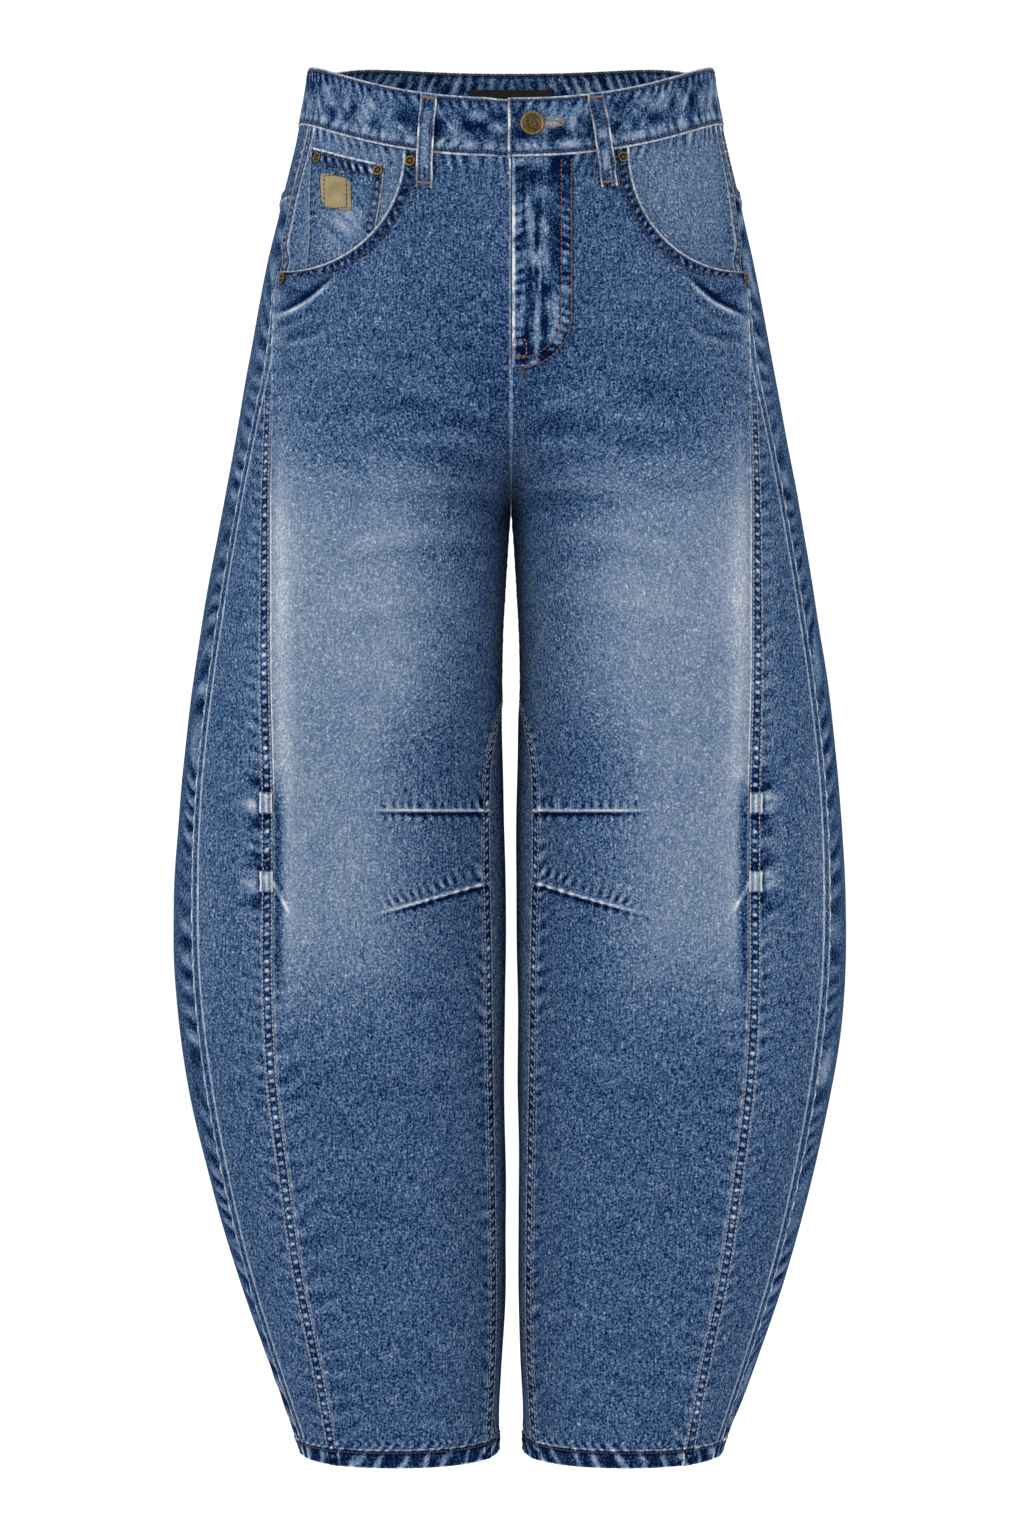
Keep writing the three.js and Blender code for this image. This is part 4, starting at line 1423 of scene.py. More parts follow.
@dataclass
class FrontPanel(Panel):
    """Front of one leg: pocket mouth, knee darts, creases and wash."""

    stem: str = "front"
    seeds: tuple[int, int] = (3, 11)
    wash: float = 0.32
    worn: tuple[Worn, ...] = (
        HEM_RIDGE, HEM_EDGE, Worn(START, 0.4, 1.2, 0.6),
        Worn(START, INSEAM_BAND + 0.4, 0.9, 0.35, True),
        Worn(END, 0.6, 1.5, 0.95, True), Worn(END, 0.3, 0.9, 0.5),
        Worn(START, 5.4, 2.4, 1.2, True, True),
    )
    mouth_rows: int = 56
    mouth_sewn: tuple[float, ...] = (2.3, 8.6)
    corner_end: float = -180
    darts: tuple[tuple[float, float, float, float], ...] = ((-8, -527, 95, -526), (-8, -570.9, 93, -597.6))
    # Two ends, half width, height and wear of each crease.
    creases: tuple[tuple[float, ...], ...] = (
        (164, -182, 122, -160.5, 1.8, 0.9, 2.4),
        (164, -190, 134, -182, 1.7, 0.6, 0.6),
        (164, -202, 118, -194, 2.4, 0.8, 0.6),
        (6, -262, 78, -236, 5.0, 1.3, 0.25),
        (6, -284, 96, -268, 5.0, 1.5, 0.25),
        (6, -306, 88, -306, 5.0, 1.4, 0.2),
        (20, -336, 118, -350, 6.0, 1.5, 0.2),
        (26, -380, 134, -396, 6.0, 1.3, 0.15),
        (60, -232, 150, -222, 5.0, 1.0, 0.15),
        (30, -648, 120, -640, 6.0, 1.2, 0.15),
        (24, -700, 110, -716, 7.0, 1.3, 0.1),
        (40, -800, 140, -780, 8.0, 1.2, 0.1),
    )

    def rows(self) -> Rows:
        """Rows that meet the pocket mouth squarely, turn its corner and then run across the leg."""
        band = HEAD[-1]
        share = np.linspace(0, 1, self.mouth_rows)
        mouth_x, mouth_level = FORM.mouth(self.side, share)
        inner_x, inner_level = FORM.beside_mouth(self.side, share * (1 - 0.13 * share ** 3), band)
        # Close rows round the corner, then the leg, closest at the tucks and the darts.
        corner = np.concatenate([[-146.8, -148.2, -149.8], np.linspace(-151.6, self.corner_end + 1.6, 14)])
        inner = mix(inner_level[-1], self.corner_end, (np.arange(len(corner)) + 1) / (len(corner) + 1))
        leg = steps_down((self.corner_end, -205, 2.0), (-207.5, -506, 3.2), (-507.2, -534, 1.2),
                         (-535.6, -560, 2.0), (-561.2, -602, 1.2), (-604, -968, 3.4))
        level = np.concatenate([inner_level, inner, leg])
        start = np.concatenate([mix(-FORM.waistband - FORM.gap, inner_level[-1], share), inner, leg])
        end = np.concatenate([mouth_level, corner, leg])
        seam = FORM.seam(self.side, "front", end[len(share):])
        end_angle = np.concatenate([FORM.angle_at(mouth_x, mouth_level), seam])
        # Below the corner the turn keeps the band's width from the side seam.
        height, tilt = FORM.row_height(level, end_angle), 0.06
        step = FORM.point(self.side, end_angle - tilt, height) - FORM.point(self.side, end_angle, height)
        slope = tilt * band / np.linalg.norm(step, axis=1)
        turn_angle = np.concatenate([FORM.angle_at(inner_x, inner_level), (end_angle - slope)[len(share):]])
        weight = np.concatenate([np.zeros(len(share)), smooth(-np.concatenate([corner, leg]), 150, 185)])
        near = FORM.angle_at(np.full(level.shape, inner_x[-1]), level)
        turn_angle = np.where(np.arange(len(level)) < len(share), turn_angle, mix(near, turn_angle, weight))
        start_angle = FORM.inner(start, True)
        middle = mix(start_angle, turn_angle, 0.5)
        return Rows((start, mix(start, level, 0.5), level, end), (start_angle, middle, turn_angle, end_angle),
                    (np.where(start > FORM.crotch, 0.0, CLEAR), CLEAR))

    def cloth(self) -> Cloth:
        """Lays and raises the cloth."""
        cloth = FORM.lay(self.side, self.rows(), spread(86, head=True, tail=True))
        leg = 1 - smooth(cloth.level, INSEAM_TOP, INSEAM_TOP + 14)
        row = np.arange(len(cloth.level))
        mouth = (1 - smooth(row, self.mouth_rows - 1, self.mouth_rows + 2))[:, None]
        cloth.waves(70, 1.8, self.seed)
        cloth.waves(26, 0.5, self.seed + 1, 1.2)
        cloth.zone = np.where(cloth.start < cloth.end, leg, mouth + 0 * leg)
        self.gather_seams(cloth, leg, mouth)
        self.fold(cloth)
        self.bleach_and_light(cloth, leg, 1 - mouth)
        if self.side is Side.LEFT:
            # It lies flat and lower under the fly.
            under = smooth(cloth.level, -224, -217) * (1 - smooth(cloth.across, 41.5, 45))
            cloth.lift = mix(cloth.lift, -1.3, under)
        return cloth

    def gather_seams(self, cloth: Cloth, leg: Array, mouth: Array) -> None:
        """Raises and gathers the inseam, the pocket mouth, the side seam and the hem.

        Args:
            cloth: The panel.
            leg: Mask of the rows with a raised inseam.
            mouth: Mask of the rows that end in the pocket mouth.
        """
        seed, z = self.seed, cloth.height
        cloth.felled(START, INSEAM_BAND, where=leg)
        cloth.shade(START, INSEAM_BAND, 0.7, leg)
        cloth.felled(END, 9.5, 0.6, mouth)
        cloth.rub_and_shading -= 0.7 * bump(cloth.end, 5, 3.4) * mouth
        for place in self.mouth_sewn:
            cloth.groove(END, place, 0.9, 0.8, mouth)
        cloth.groove(START, 1.3, 0.9, 0.5, leg)
        ridge = smooth(-z, 215, 300) * (1 - smooth(-z, 600, 690))
        smoothed = (1 - mouth) * (1 - 0.8 * ridge)
        cloth.pucker(START, 10, 6, 0.45, seed=seed + 5, where=leg, offset=INSEAM_BAND + 2, rub_and_shading=1.0,
                     drift=6)
        cloth.pucker(END, 5.2, 2.4, 0.3, seed=seed + 2, where=mouth, offset=5.4, rub_and_shading=2.3)
        cloth.pucker(END, 11, 5, 0.4, seed=seed + 3, where=smoothed, rub_and_shading=0.7)
        cloth.pucker(END, 17, 12, 0.5, seed=seed + 4, where=(1 - mouth) * (1 - ridge), offset=8, rub_and_shading=0.4)
        cloth.pucker(TOP, 8, 9, 0.35, seed=seed + 6, rub_and_shading=1.0)
        cloth.rope(seed)
        tucked = smooth(-z, 495, 530) * (1 - smooth(-z, 615, 670))
        cloth.lift += ridge * (0.9 * bump(cloth.end, 11, 6) - 0.3 * bump(cloth.end, 3, 3))
        # Painted highlight along the puffy ridge beside the side seam, partly wear.
        cloth.rub_and_shading += ridge * (0.36 - 0.22 * tucked) * bump(cloth.end, 9.5, 6.5)
        # Painted shade between the side seam's band and the ridge, by the tucks.
        cloth.rub_and_shading -= 1.6 * tucked * bump(cloth.end, 3.0, 4.2)

    def fold(self, cloth: Cloth) -> None:
        """Folds the fan beside the tuck, the darts and the creases.

        Args:
            cloth: The panel.
        """
        cloth.crease(167, -570, 152, -597, 1.2, 1.0, rub_and_shading=1.7)
        for k, (x0, z0, x1, z1) in enumerate(self.darts):
            cloth.crease(x0, z0, x1, z1, 1.15, 1.2, rub_and_shading=2.6, shadow=1.5)
            cloth.gather(x0 + 22, z0, x1, z1, 6.2, 5.0, 0.6, 1.6, seed=self.seed + 20 + k)
            cloth.gather(x0 + 22, z0 - 9, x1, z1 - 9, 6.8, 3.0, 0.35, 1.2, seed=self.seed + 30 + k)
        for x0, z0, x1, z1, width, height, rub_and_shading in self.creases:
            cloth.crease(x0, z0, x1, z1, width, height, rub_and_shading=rub_and_shading, shadow=height * 0.6, bow=4)

    def bleach_and_light(self, cloth: Cloth, leg: Array, below: Array) -> None:
        """Washes the thigh pale, with whiskers, and keeps the middle and the corners dark; on the inner thigh
        it paints light where creases and the other leg cast shade.

        Args:
            cloth: The panel.
            leg: Mask of the rows with a raised inseam.
            below: Mask of the rows below the pocket mouth.
        """
        z, x, start, end = cloth.height, cloth.across, cloth.start, cloth.end
        knee = smooth(-z, 425, 500)
        thigh = smooth(-z, 245, 350) * (1 - smooth(-z, 590, 712))
        cloth.fade += thigh * (0.295 * smooth(x, 18 + 24 * knee, 86 + 24 * knee) + 0.06 * bump(end, 10, 14))
        whisker = NOISE(x / 60, (z + 0.12 * x) / 8.5, self.seed + 40)
        whisker = whisker * bump(x, 75, 60) * bump(z, -262, 62) * below
        cloth.rub_and_shading += 0.35 * whisker
        cloth.lift += 0.3 * whisker
        cloth.fade -= 0.03 * bump(start, 0, 26) * leg
        # Painted light: a lighter band across the thigh, where the creases there cast shade.
        cloth.fade += 0.05 * thigh * bump(z, -392, 42)
        # The third spot, at the inner edge by the crotch, is painted light where the legs shade each other.
        for spot in ((0.1, end, 16, 30, -285, 55, below), (-0.12, x, 5, 40, -240, 62),
                     (0.15, start, 0, 44, -375, 85), (-0.02, x, 48, 22, -495, 26),
                     (0.24, end, 0, 11, -190, 34, below)):
            cloth.spot(*spot)
        cloth.fade -= 0.2 * bump(x, 146, 14) * bump(z + 0.4 * (146 - x), -168, 5) * below
        cloth.fade += 0.03 * smooth(x, 60, 90) * bump(z, -165, 50)

    def sewing(self, cloth: Cloth) -> list[Sewing]:
        """What is sewn on it."""
        def on_mouth(c: Cloth) -> Array:
            """Rows of the pocket mouth."""
            return np.arange(len(c.level))[:, None] + 0 * c.level < self.mouth_rows

        def below(c: Cloth) -> Array:
            """Rows with a raised inseam."""
            return (c.level < INSEAM_TOP + 2) & (c.level > HEM_TOP)

        brown = [cloth.line(END, place, on_mouth) for place in self.mouth_sewn]
        brown.append(cloth.line(BOTTOM, HEM_SEWN))
        pale = [cloth.line(START, place, below) for place in (1.3, INSEAM_BAND - 1.3)]
        if self.side is Side.LEFT:
            brown.append(cloth.trace([(11.5, -222), (7.8, -250), (6.2, -284), (4.6, -304)]))
        return [Sewing(Trim.BROWN, brown), Sewing(Trim.PALE, pale)]


@dataclass
class BarrelPanel(Panel):
    """Lens-shaped panel down the outside of the leg, with its felled seam and tucks."""

    stem: str = "barrel_side"
    seeds: tuple[int, int] = (31, 43)
    worn: tuple[Worn, ...] = (
        Worn(START, 0.3, 0.8, 0.5), Worn(START, 8.7, 0.9, 0.5), Worn(END, 0.7, 1.1, 0.8),
        Worn(END, 8.2, 1.5, 0.75), Worn(START, 4.3, 2.2, 1.1, True, True), HEM_RIDGE, HEM_EDGE,
    )
    sewn: tuple[float, ...] = (1.0, 7.5)
    tucks: tuple[float, ...] = (-521, -575)
    tuck_half: float = 7.0

    def cloth(self) -> Cloth:
        """Lays and raises the cloth."""
        levels = steps_down((FORM.panel_tip, -505, 2.8), (-506.3, -592, 1.3), (-594, -968, 2.8))
        angles = (FORM.seam(self.side, "front", levels), FORM.seam(self.side, "outer", levels))
        cloth = FORM.lay(self.side, Rows((levels, levels), angles), spread(26, head=True))
        broad = smooth(cloth.start + cloth.end, 12, 30)
        cloth.waves(48, 1.2, self.seed)
        cloth.felled(START, where=broad)
        tucked = [1 - smooth(np.abs(cloth.height - tuck), 7.5, 9.5) for tuck in self.tucks]
        cloth.zone = broad * (1 - np.maximum.reduce(tucked))
        cloth.shade(START, FELLED, 0.6, cloth.zone)
        for place in self.sewn:
            cloth.groove(START, place, 0.9, 0.6, cloth.zone)
        cloth.pucker(START, 11, 6, 0.5, seed=self.seed + 1, offset=12, where=broad, rub_and_shading=0.7)
        cloth.pucker(END, 13, 5, 0.5, seed=self.seed + 2, rub_and_shading=0.5)
        cloth.groove(END, 4.8, 1.6, 0.6, broad)
        cloth.rope(self.seed)
        for tuck in self.tucks:
            self.pinch(cloth, tuck)
        middle = smooth(-cloth.height, 280, 340) * (1 - smooth(-cloth.height, 640, 720))
        cloth.fade += 0.03 + 0.03 * bump(cloth.height, -500, 190)
        cloth.fade += 0.06 * bump(cloth.start, 16, 9) * middle
        cloth.spot(0.08, cloth.end, 12, 18, -590, 80)
        return cloth

    def pinch(self, cloth: Cloth, tuck: float) -> None:
        """Pinches the seam into a raised block with folds running off it.

        Args:
            cloth: The panel.
            tuck: Height of the middle of the tuck.
        """
        above = cloth.height - tuck
        away = np.abs(above)
        block = 1 - smooth(away, self.tuck_half - 0.8, self.tuck_half + 0.8)
        block = block * (1 - smooth(cloth.start, 9, 10.4))
        rib = 0.5 + 0.5 * np.cos(math.tau * cloth.start / 4.4)
        cloth.lift += (1.0 + 0.5 * rib) * block
        cloth.rub_and_shading += (0.8 + 1.2 * rib) * block
        ring = bump(away, self.tuck_half + 1.8, 1.5) * (1 - smooth(cloth.start, 9, 12))
        side = bump(cloth.start, 11.2, 0.9) * (1 - smooth(away, 5, 8))
        cloth.lift -= 0.9 * np.maximum(ring, side)
        # Painted shade in the trough round the raised block and beside it; then darker patches above and
        # below.
        cloth.rub_and_shading -= 1.9 * np.maximum(ring, 0.4 * side)
        cloth.rub_and_shading -= 1.2 * bump(away, 15, 6) * bump(cloth.start, 11, 8)
        wedge = bump(above, 0, np.maximum(1.5, 7 - 0.22 * (cloth.start - 10)))
        wedge = wedge * smooth(cloth.start, 10.6, 12.4) * (1 - smooth(cloth.start, 13, 34))
        fan = NOISE(cloth.start / 30, above * (14 / (14 + np.maximum(0, cloth.start - 9))) / 2.6, self.seed)
        cloth.lift += (1.0 + 0.8 * fan) * wedge
        cloth.rub_and_shading += (1.3 + 0.9 * fan) * wedge

    def sewing(self, cloth: Cloth) -> list[Sewing]:
        """What is sewn on it."""
        def wide(c: Cloth) -> Array:
            """Rows wide enough for the seam."""
            return (c.start + c.end > 18) & (c.level > HEM_TOP)

        pale = [cloth.line(START, place, wide) for place in self.sewn]
        return [Sewing(Trim.PALE, pale), Sewing(Trim.BROWN, [cloth.line(BOTTOM, HEM_SEWN)])]


@dataclass
class BackPanel(Panel):
    """Back of one leg, from the yoke to the hem."""

    stem: str = "back"
    seeds: tuple[int, int] = (51, 67)
    wash: float = 0.28
    worn: tuple[Worn, ...] = (
        Worn(START, 0.3, 0.7, 0.3), Worn(END, 0.3, 1.0, 0.5), Worn(TOP, 0.4, 0.9, 0.5),
        HEM_RIDGE, Worn(BOTTOM, 0.3, 0.8, 0.5),
    )
    sewn: tuple[float, ...] = (1.8, 7.0)
    yoke_side: float = -92
    yoke_centre: float = -124
    top_rows: int = 18

    def cloth(self) -> Cloth:
        """Lays and raises the cloth."""
        share = np.linspace(0, 1, self.top_rows, endpoint=False)
        levels = steps_down((FORM.panel_tip, -967, 3.6))
        first, last = (np.concatenate([mix(top - CLEAR, FORM.panel_tip, share), levels])
                       for top in (self.yoke_side, self.yoke_centre))
        angles = (FORM.seam(self.side, "outer", first), FORM.inner(last, False))
        trims = (CLEAR, np.where(last > FORM.crotch, 0.0, CLEAR))
        cloth = FORM.lay(self.side, Rows((first, last), angles, trims), spread(62, tail=True))
        seed = self.seed
        rise = smooth(cloth.level, FORM.crotch + 6, FORM.crotch + 34)
        cloth.waves(80, 2.2, seed)
        cloth.waves(30, 0.6, seed + 1)
        cloth.felled(END, where=rise)
        cloth.pucker(END, 7, 7, 0.4, seed=seed, where=rise)
        cloth.pucker(START, 19, 9, 0.9, seed=seed + 2, offset=8, rub_and_shading=1.5, drift=10)
        cloth.pucker(START, 7, 4, 0.3, seed=seed + 5, rub_and_shading=0.5)
        cloth.pucker(END, 9, 9, 0.4, seed=seed + 3, where=1 - rise, rub_and_shading=0.5)
        cloth.pucker(TOP, 7, 7, 0.3, seed=seed + 4)
        cloth.rope(seed)
        for x0, z0, x1, z1 in ((8, -300, 120, -258), (10, -322, 134, -300), (14, -352, 140, -350),
                               (30, -520, 170, -500), (24, -580, 160, -590), (40, -640, 150, -628)):
            cloth.crease(x0, z0, x1, z1, 6, 1.8, rub_and_shading=0.25, bow=8, shadow=1.0)
        cloth.spot(0.14, cloth.across, 100, 70, -240, 90)
        cloth.spot(0.1, cloth.across, 115, 60, -560, 170)
        # Painted light: the strip by the inseam below the crotch, where the legs shade each other, is
        # lightened.
        cloth.fade += 0.14 * bump(cloth.end, 0, 26) * (1 - rise)
        return cloth

    def sewing(self, cloth: Cloth) -> list[Sewing]:
        """What is sewn on it."""
        def seat(c: Cloth) -> Array:
            """Rows above the crotch."""
            return c.level > FORM.crotch + 14

        seams = [cloth.line(END, place, seat) for place in self.sewn]
        return [Sewing(Trim.BROWN, [cloth.line(BOTTOM, HEM_SEWN), *seams])]


@dataclass
class Yoke(BackPanel):
    """The shaped piece between the waistband and the back panel."""

    stem: str = "yoke"
    seeds: tuple[int, int] = (71, 83)
    wash: float = 0.3
    worn: tuple[Worn, ...] = (
        Worn(START, 0.4, 0.9, 0.6), Worn(BOTTOM, 0.3, 1.0, 0.8), Worn(END, 0.3, 0.8, 0.4),
    )

    def cloth(self) -> Cloth:
        """Lays and raises the cloth."""
        top = -FORM.waistband - 2 * FORM.gap
        share = np.concatenate([np.linspace(0, 0.8, 14), np.linspace(0.83, 1, 12)])
        first, last = (mix(top, bottom + CLEAR, share) for bottom in (self.yoke_side, self.yoke_centre))
        angles = (FORM.seam(self.side, "outer", first), FORM.middle(last, False))
        cloth = FORM.lay(self.side, Rows((first, last), angles, (CLEAR, 0.0)), spread(84, head=True))
        cloth.felled(BOTTOM)
        cloth.felled(START, where=smooth(cloth.bottom, 8, 11))
        cloth.pucker(BOTTOM, 7, 8, 0.4, seed=self.seed, offset=4)
        cloth.pucker(START, 7, 7, 0.4, seed=self.seed + 1, offset=4)
        cloth.pucker(END, 7, 7, 0.3, seed=self.seed + 2)
        cloth.pucker(TOP, 7, 7, 0.3, seed=self.seed + 3)
        cloth.fade += 0.03
        return cloth

    def sewing(self, cloth: Cloth) -> list[Sewing]:
        """What is sewn on it."""
        lines = [cloth.line(edge, place) for edge in (BOTTOM, START) for place in self.sewn]
        return [Sewing(Trim.BROWN, lines)]


@dataclass
class PocketFacing(Panel):
    """The piece that shows in the pocket mouth."""

    wall: float = 1.4
    stem: str = "pocket_facing"
    seeds: tuple[int, int] = (91, 97)
    wash: float = 0.39
    worn: tuple[Worn, ...] = (Worn(END, 0.4, 1.1, 0.6), Worn(END, 9.4, 1.0, 0.6))
    sewn: tuple[float, ...] = (2.0, 7.6)
    sink: float = 2.5
    sag: float = 2.6
    underlap: float = 12

    def shift(self, x: Array, level: Array) -> Array:
        """Depth below the skin: level with it at the seams, and under the front panel.

        Args:
            x: Distances from the middle.
            level: The levels.

        Returns:
            The depths, below 0.
        """
        corner = FORM.corner_x(self.side)
        across = np.maximum(0, (corner - x) / (corner - FORM.pocket_top[self.side]))
        down = (-FORM.waistband - level) / (-FORM.waistband - FORM.pocket_corner)
        turn = np.degrees(np.arctan2(down, across))
        open_ = smooth(turn, 4, 30) * (1 - smooth(turn, 86, 91))
        return -(self.sink + self.sag * open_) * smooth(np.hypot(across, down), 0.35, 0.85)

    def between(self, level: Array, inner: Array, outer: Array, columns: int) -> Cloth:
        """Lays cloth at the facing's depth, between two distances from the middle.

        Args:
            level: Levels of the rows.
            inner: Where each row starts.
            outer: Where it ends.
            columns: How many columns it has.

        Returns:
            The cloth.
        """
        angles = (FORM.angle_at(inner, level), FORM.angle_at(outer, level))
        cloth = FORM.lay(self.side, Rows((level, level), angles), spread(columns))
        cloth.lift += self.shift(cloth.across, cloth.level)
        return cloth

    def cloth(self) -> Cloth:
        """Lays and raises the cloth."""
        top = -FORM.waistband - FORM.gap
        corner = FORM.corner_x(self.side)
        level = levels_between(top, -154, 2.2)
        share = (top - level) / (top - FORM.pocket_corner + self.underlap)
        reach = corner - FORM.pocket_top[self.side] + self.underlap
        outer = FORM.seam_x(self.side, "outer", level)
        cloth = self.between(level, corner - reach * np.sqrt(1 - share ** 2), outer, 60)
        upper = smooth(cloth.level, -140, -124)
        cloth.lift *= 1 - upper * (1 - smooth(cloth.end, 9.6, 12))
        cloth.lift += 0.5 * upper * (1 - smooth(cloth.end, 9.0, 10.2))
        cloth.pucker(TOP, 8, 8, 0.3, seed=self.seed, rub_and_shading=1.2)
        cloth.pucker(END, 6, 3, 0.35, seed=self.seed + 1, offset=5, rub_and_shading=1.2)
        for place in self.sewn:
            cloth.groove(END, place, 0.9, 0.8)
        cloth.fade += 0.1 * bump(cloth.level, -80, 50) * smooth(cloth.end, 10, 30) + 0.03
        return cloth

    def sewing(self, cloth: Cloth) -> list[Sewing]:
        """What is sewn on it."""
        return [Sewing(Trim.BROWN, [cloth.line(END, place) for place in self.sewn])]


@dataclass
class CoinPocket(PocketFacing):
    """The small pocket on the right facing."""

    wall: float = 1.0
    stem: str = "coin_pocket"
    sided: bool = False
    wash: float = 0.32
    worn: tuple[Worn, ...] = (
        Worn(TOP, 0.5, 1.3, 1.0), Worn(START, 0.4, 1.0, 0.8), Worn(END, 0.4, 1.0, 0.7),
    )
    raised: float = 1.35
    rows_sewn: tuple[tuple[Edge, float], ...] = (
        (START, 1.6), (START, 6.4), (END, 1.6), (TOP, 9.2), (TOP, 3.2),
    )

    def cloth(self) -> Cloth:
        """Lays and raises the cloth."""
        share = np.linspace(0, 1, 64)
        cloth = self.between(mix(-55.2, -147.4, share), mix(87, 101, share), mix(138, 146, share), 44)
        cloth.lift += self.raised
        cloth.felled(TOP, 9.5, 0.4)
        cloth.pucker(START, 6, 2.6, 0.25, seed=101, offset=4, rub_and_shading=1.3)
        cloth.pucker(END, 6, 3, 0.25, seed=102, offset=3, rub_and_shading=1.0)
        cloth.rub_and_shading -= 0.5 * bump(cloth.top, 6, 3.4)
        cloth.pucker(TOP, 7, 3, 0.2, seed=103, offset=6, rub_and_shading=2.6)
        for edge, place in self.rows_sewn:
            cloth.groove(edge, place, 0.9, 0.8)
        streak = NOISE((cloth.across - cloth.height) / 3.5, (cloth.across + cloth.height) / 30, 104)
        worn = bump(cloth.across, 118, 20) * bump(cloth.height, -126, 26)
        cloth.fade += 0.24 * worn
        cloth.rub_and_shading += 0.8 * streak * worn
        return cloth

    def sewing(self, cloth: Cloth) -> list[Sewing]:
        """What is sewn on it."""
        return [Sewing(Trim.BROWN, [cloth.line(edge, place) for edge, place in self.rows_sewn])]


@dataclass
class Patch(CoinPocket):
    """The plain patch on the coin pocket."""

    wall: float = 0.8
    slot: str = "patch"
    stem: str = "patch"
    raised: float = 2.55
    half: float = 10
    tall: float = 24
    corner: float = 4
    margin: float = 2

    def cloth(self) -> Cloth:
        """Lays and raises the cloth."""
        share = np.sin(np.linspace(-math.pi / 2, math.pi / 2, 30))
        rise = np.maximum(0, np.abs(share) * self.tall / 2 - self.tall / 2 + self.corner)
        half = self.half - 0.85 * (self.corner - np.sqrt(self.corner ** 2 - rise ** 2))
        cloth = self.between(-83.5 - share * self.tall / 2, 121.5 - half, 121.5 + half, 22)
        rim = np.minimum.reduce([cloth.start, cloth.end, cloth.top, cloth.bottom])
        cloth.lift += self.raised - 0.4 * bump(rim, 0, 0.7) - 0.25 * bump(rim, 2.2, 0.5)
        return cloth

    def finish(self) -> PlainFinish:
        """Its finish."""
        return PATCH_FINISH

    def sewing(self, cloth: Cloth) -> list[Sewing]:
        """What is sewn on it."""
        left, right = cloth.across.min() + self.margin, cloth.across.max() - self.margin
        low, high = cloth.height.min() + self.margin, cloth.height.max() - self.margin
        corners = [(left, high), (right, high), (right, low), (left, low), (left, high)]
        return [Sewing(Trim.BROWN, [cloth.trace(corners)])]


@dataclass
class Fly(Panel):
    """The fly on the left front: straight down, then curved in to the middle."""

    wall: float = 1.2
    stem: str = "fly"
    sided: bool = False
    wash: float = 0.28
    worn: tuple[Worn, ...] = (Worn(START, 0.7, 1.9, 1.0),)
    edge: float = 0.8
    width: float = 41
    turn: float = -174
    bottom: float = -217

    def cloth(self) -> Cloth:
        """Lays and raises the cloth."""
        level = np.concatenate([levels_between(-41.6, self.turn, 1.9),
                                levels_between(self.turn - 1.3, -216.2, 1.3)])
        turned = np.maximum(0, (self.turn - level) / (self.turn - self.bottom))
        outer = self.edge + 1 + (self.width - 1) * np.sqrt(1 - turned ** 2)
        angles = (FORM.angle_at(self.edge, level), FORM.angle_at(outer, level))
        cloth = FORM.lay(self.side, Rows((level, level), angles, (0.0, 0.0)), spread(34))
        cloth.lift += 0.9 - 0.85 * (1 - smooth(np.minimum(cloth.end, cloth.bottom + 0.6), 0.3, 3.2))
        cloth.lift -= 0.6 * bump(cloth.end, 7.5, 1.6) * smooth(cloth.start + cloth.end, 12, 20)
        cloth.pucker(START, 8, 4, 0.35, seed=111, offset=5, rub_and_shading=1.2)
        cloth.pucker(END, 6.5, 5, 0.5, seed=112, offset=5, rub_and_shading=1.5)
        for place in (1.4, 8.2):
            cloth.groove(END, place, 0.9, 0.7)
        cloth.pucker(TOP, 8, 8, 0.3, seed=113, rub_and_shading=0.5)
        streak = NOISE(cloth.across / 2.3, cloth.height / 34, 114)
        worn = bump(cloth.across, 15, 7) * smooth(-cloth.height, 80, 120)
        cloth.rub_and_shading += (3.6 * streak + 0.5) * worn
        cloth.lift += 0.7 * streak * worn
        blotch = NOISE(cloth.across / 7, cloth.height / 11, 115)
        cloth.rub_and_shading += 1.9 * blotch * bump(cloth.across, 20, 22) - 0.9 * bump(cloth.top, 4, 8)
        cloth.rub_and_shading = np.minimum(cloth.rub_and_shading, 1.3)
        cloth.fade -= 0.03
        return cloth

    def sewing(self, cloth: Cloth) -> list[Sewing]:
        """What is sewn on it."""
        lines = []
        for width, depth in ((self.width - 0.6, 43.5), (self.width - 7.4, 35.5)):
            bend = [(self.edge + 1 + (width - 1) * math.cos(a), self.turn - depth * math.sin(a))
                    for a in np.linspace(0, math.pi / 2 - 0.08, 16)]
            path = [(width + self.edge, level) for level in np.linspace(-44, self.turn, 30)] + bend
            heights = [float(FORM.row_height(level, FORM.angle_at(x, level))) for x, level in path]
            lines.append(cloth.trace([(x, z) for (x, _), z in zip(path, heights)]))
        tack = [(1.6, -205.5), (10.5, -205.5), (10.5, -216.5), (1.6, -216.5), (1.6, -205.5)]
        return [Sewing(Trim.UMBER, lines), Sewing(Trim.RUST, [cloth.trace(tack)])]


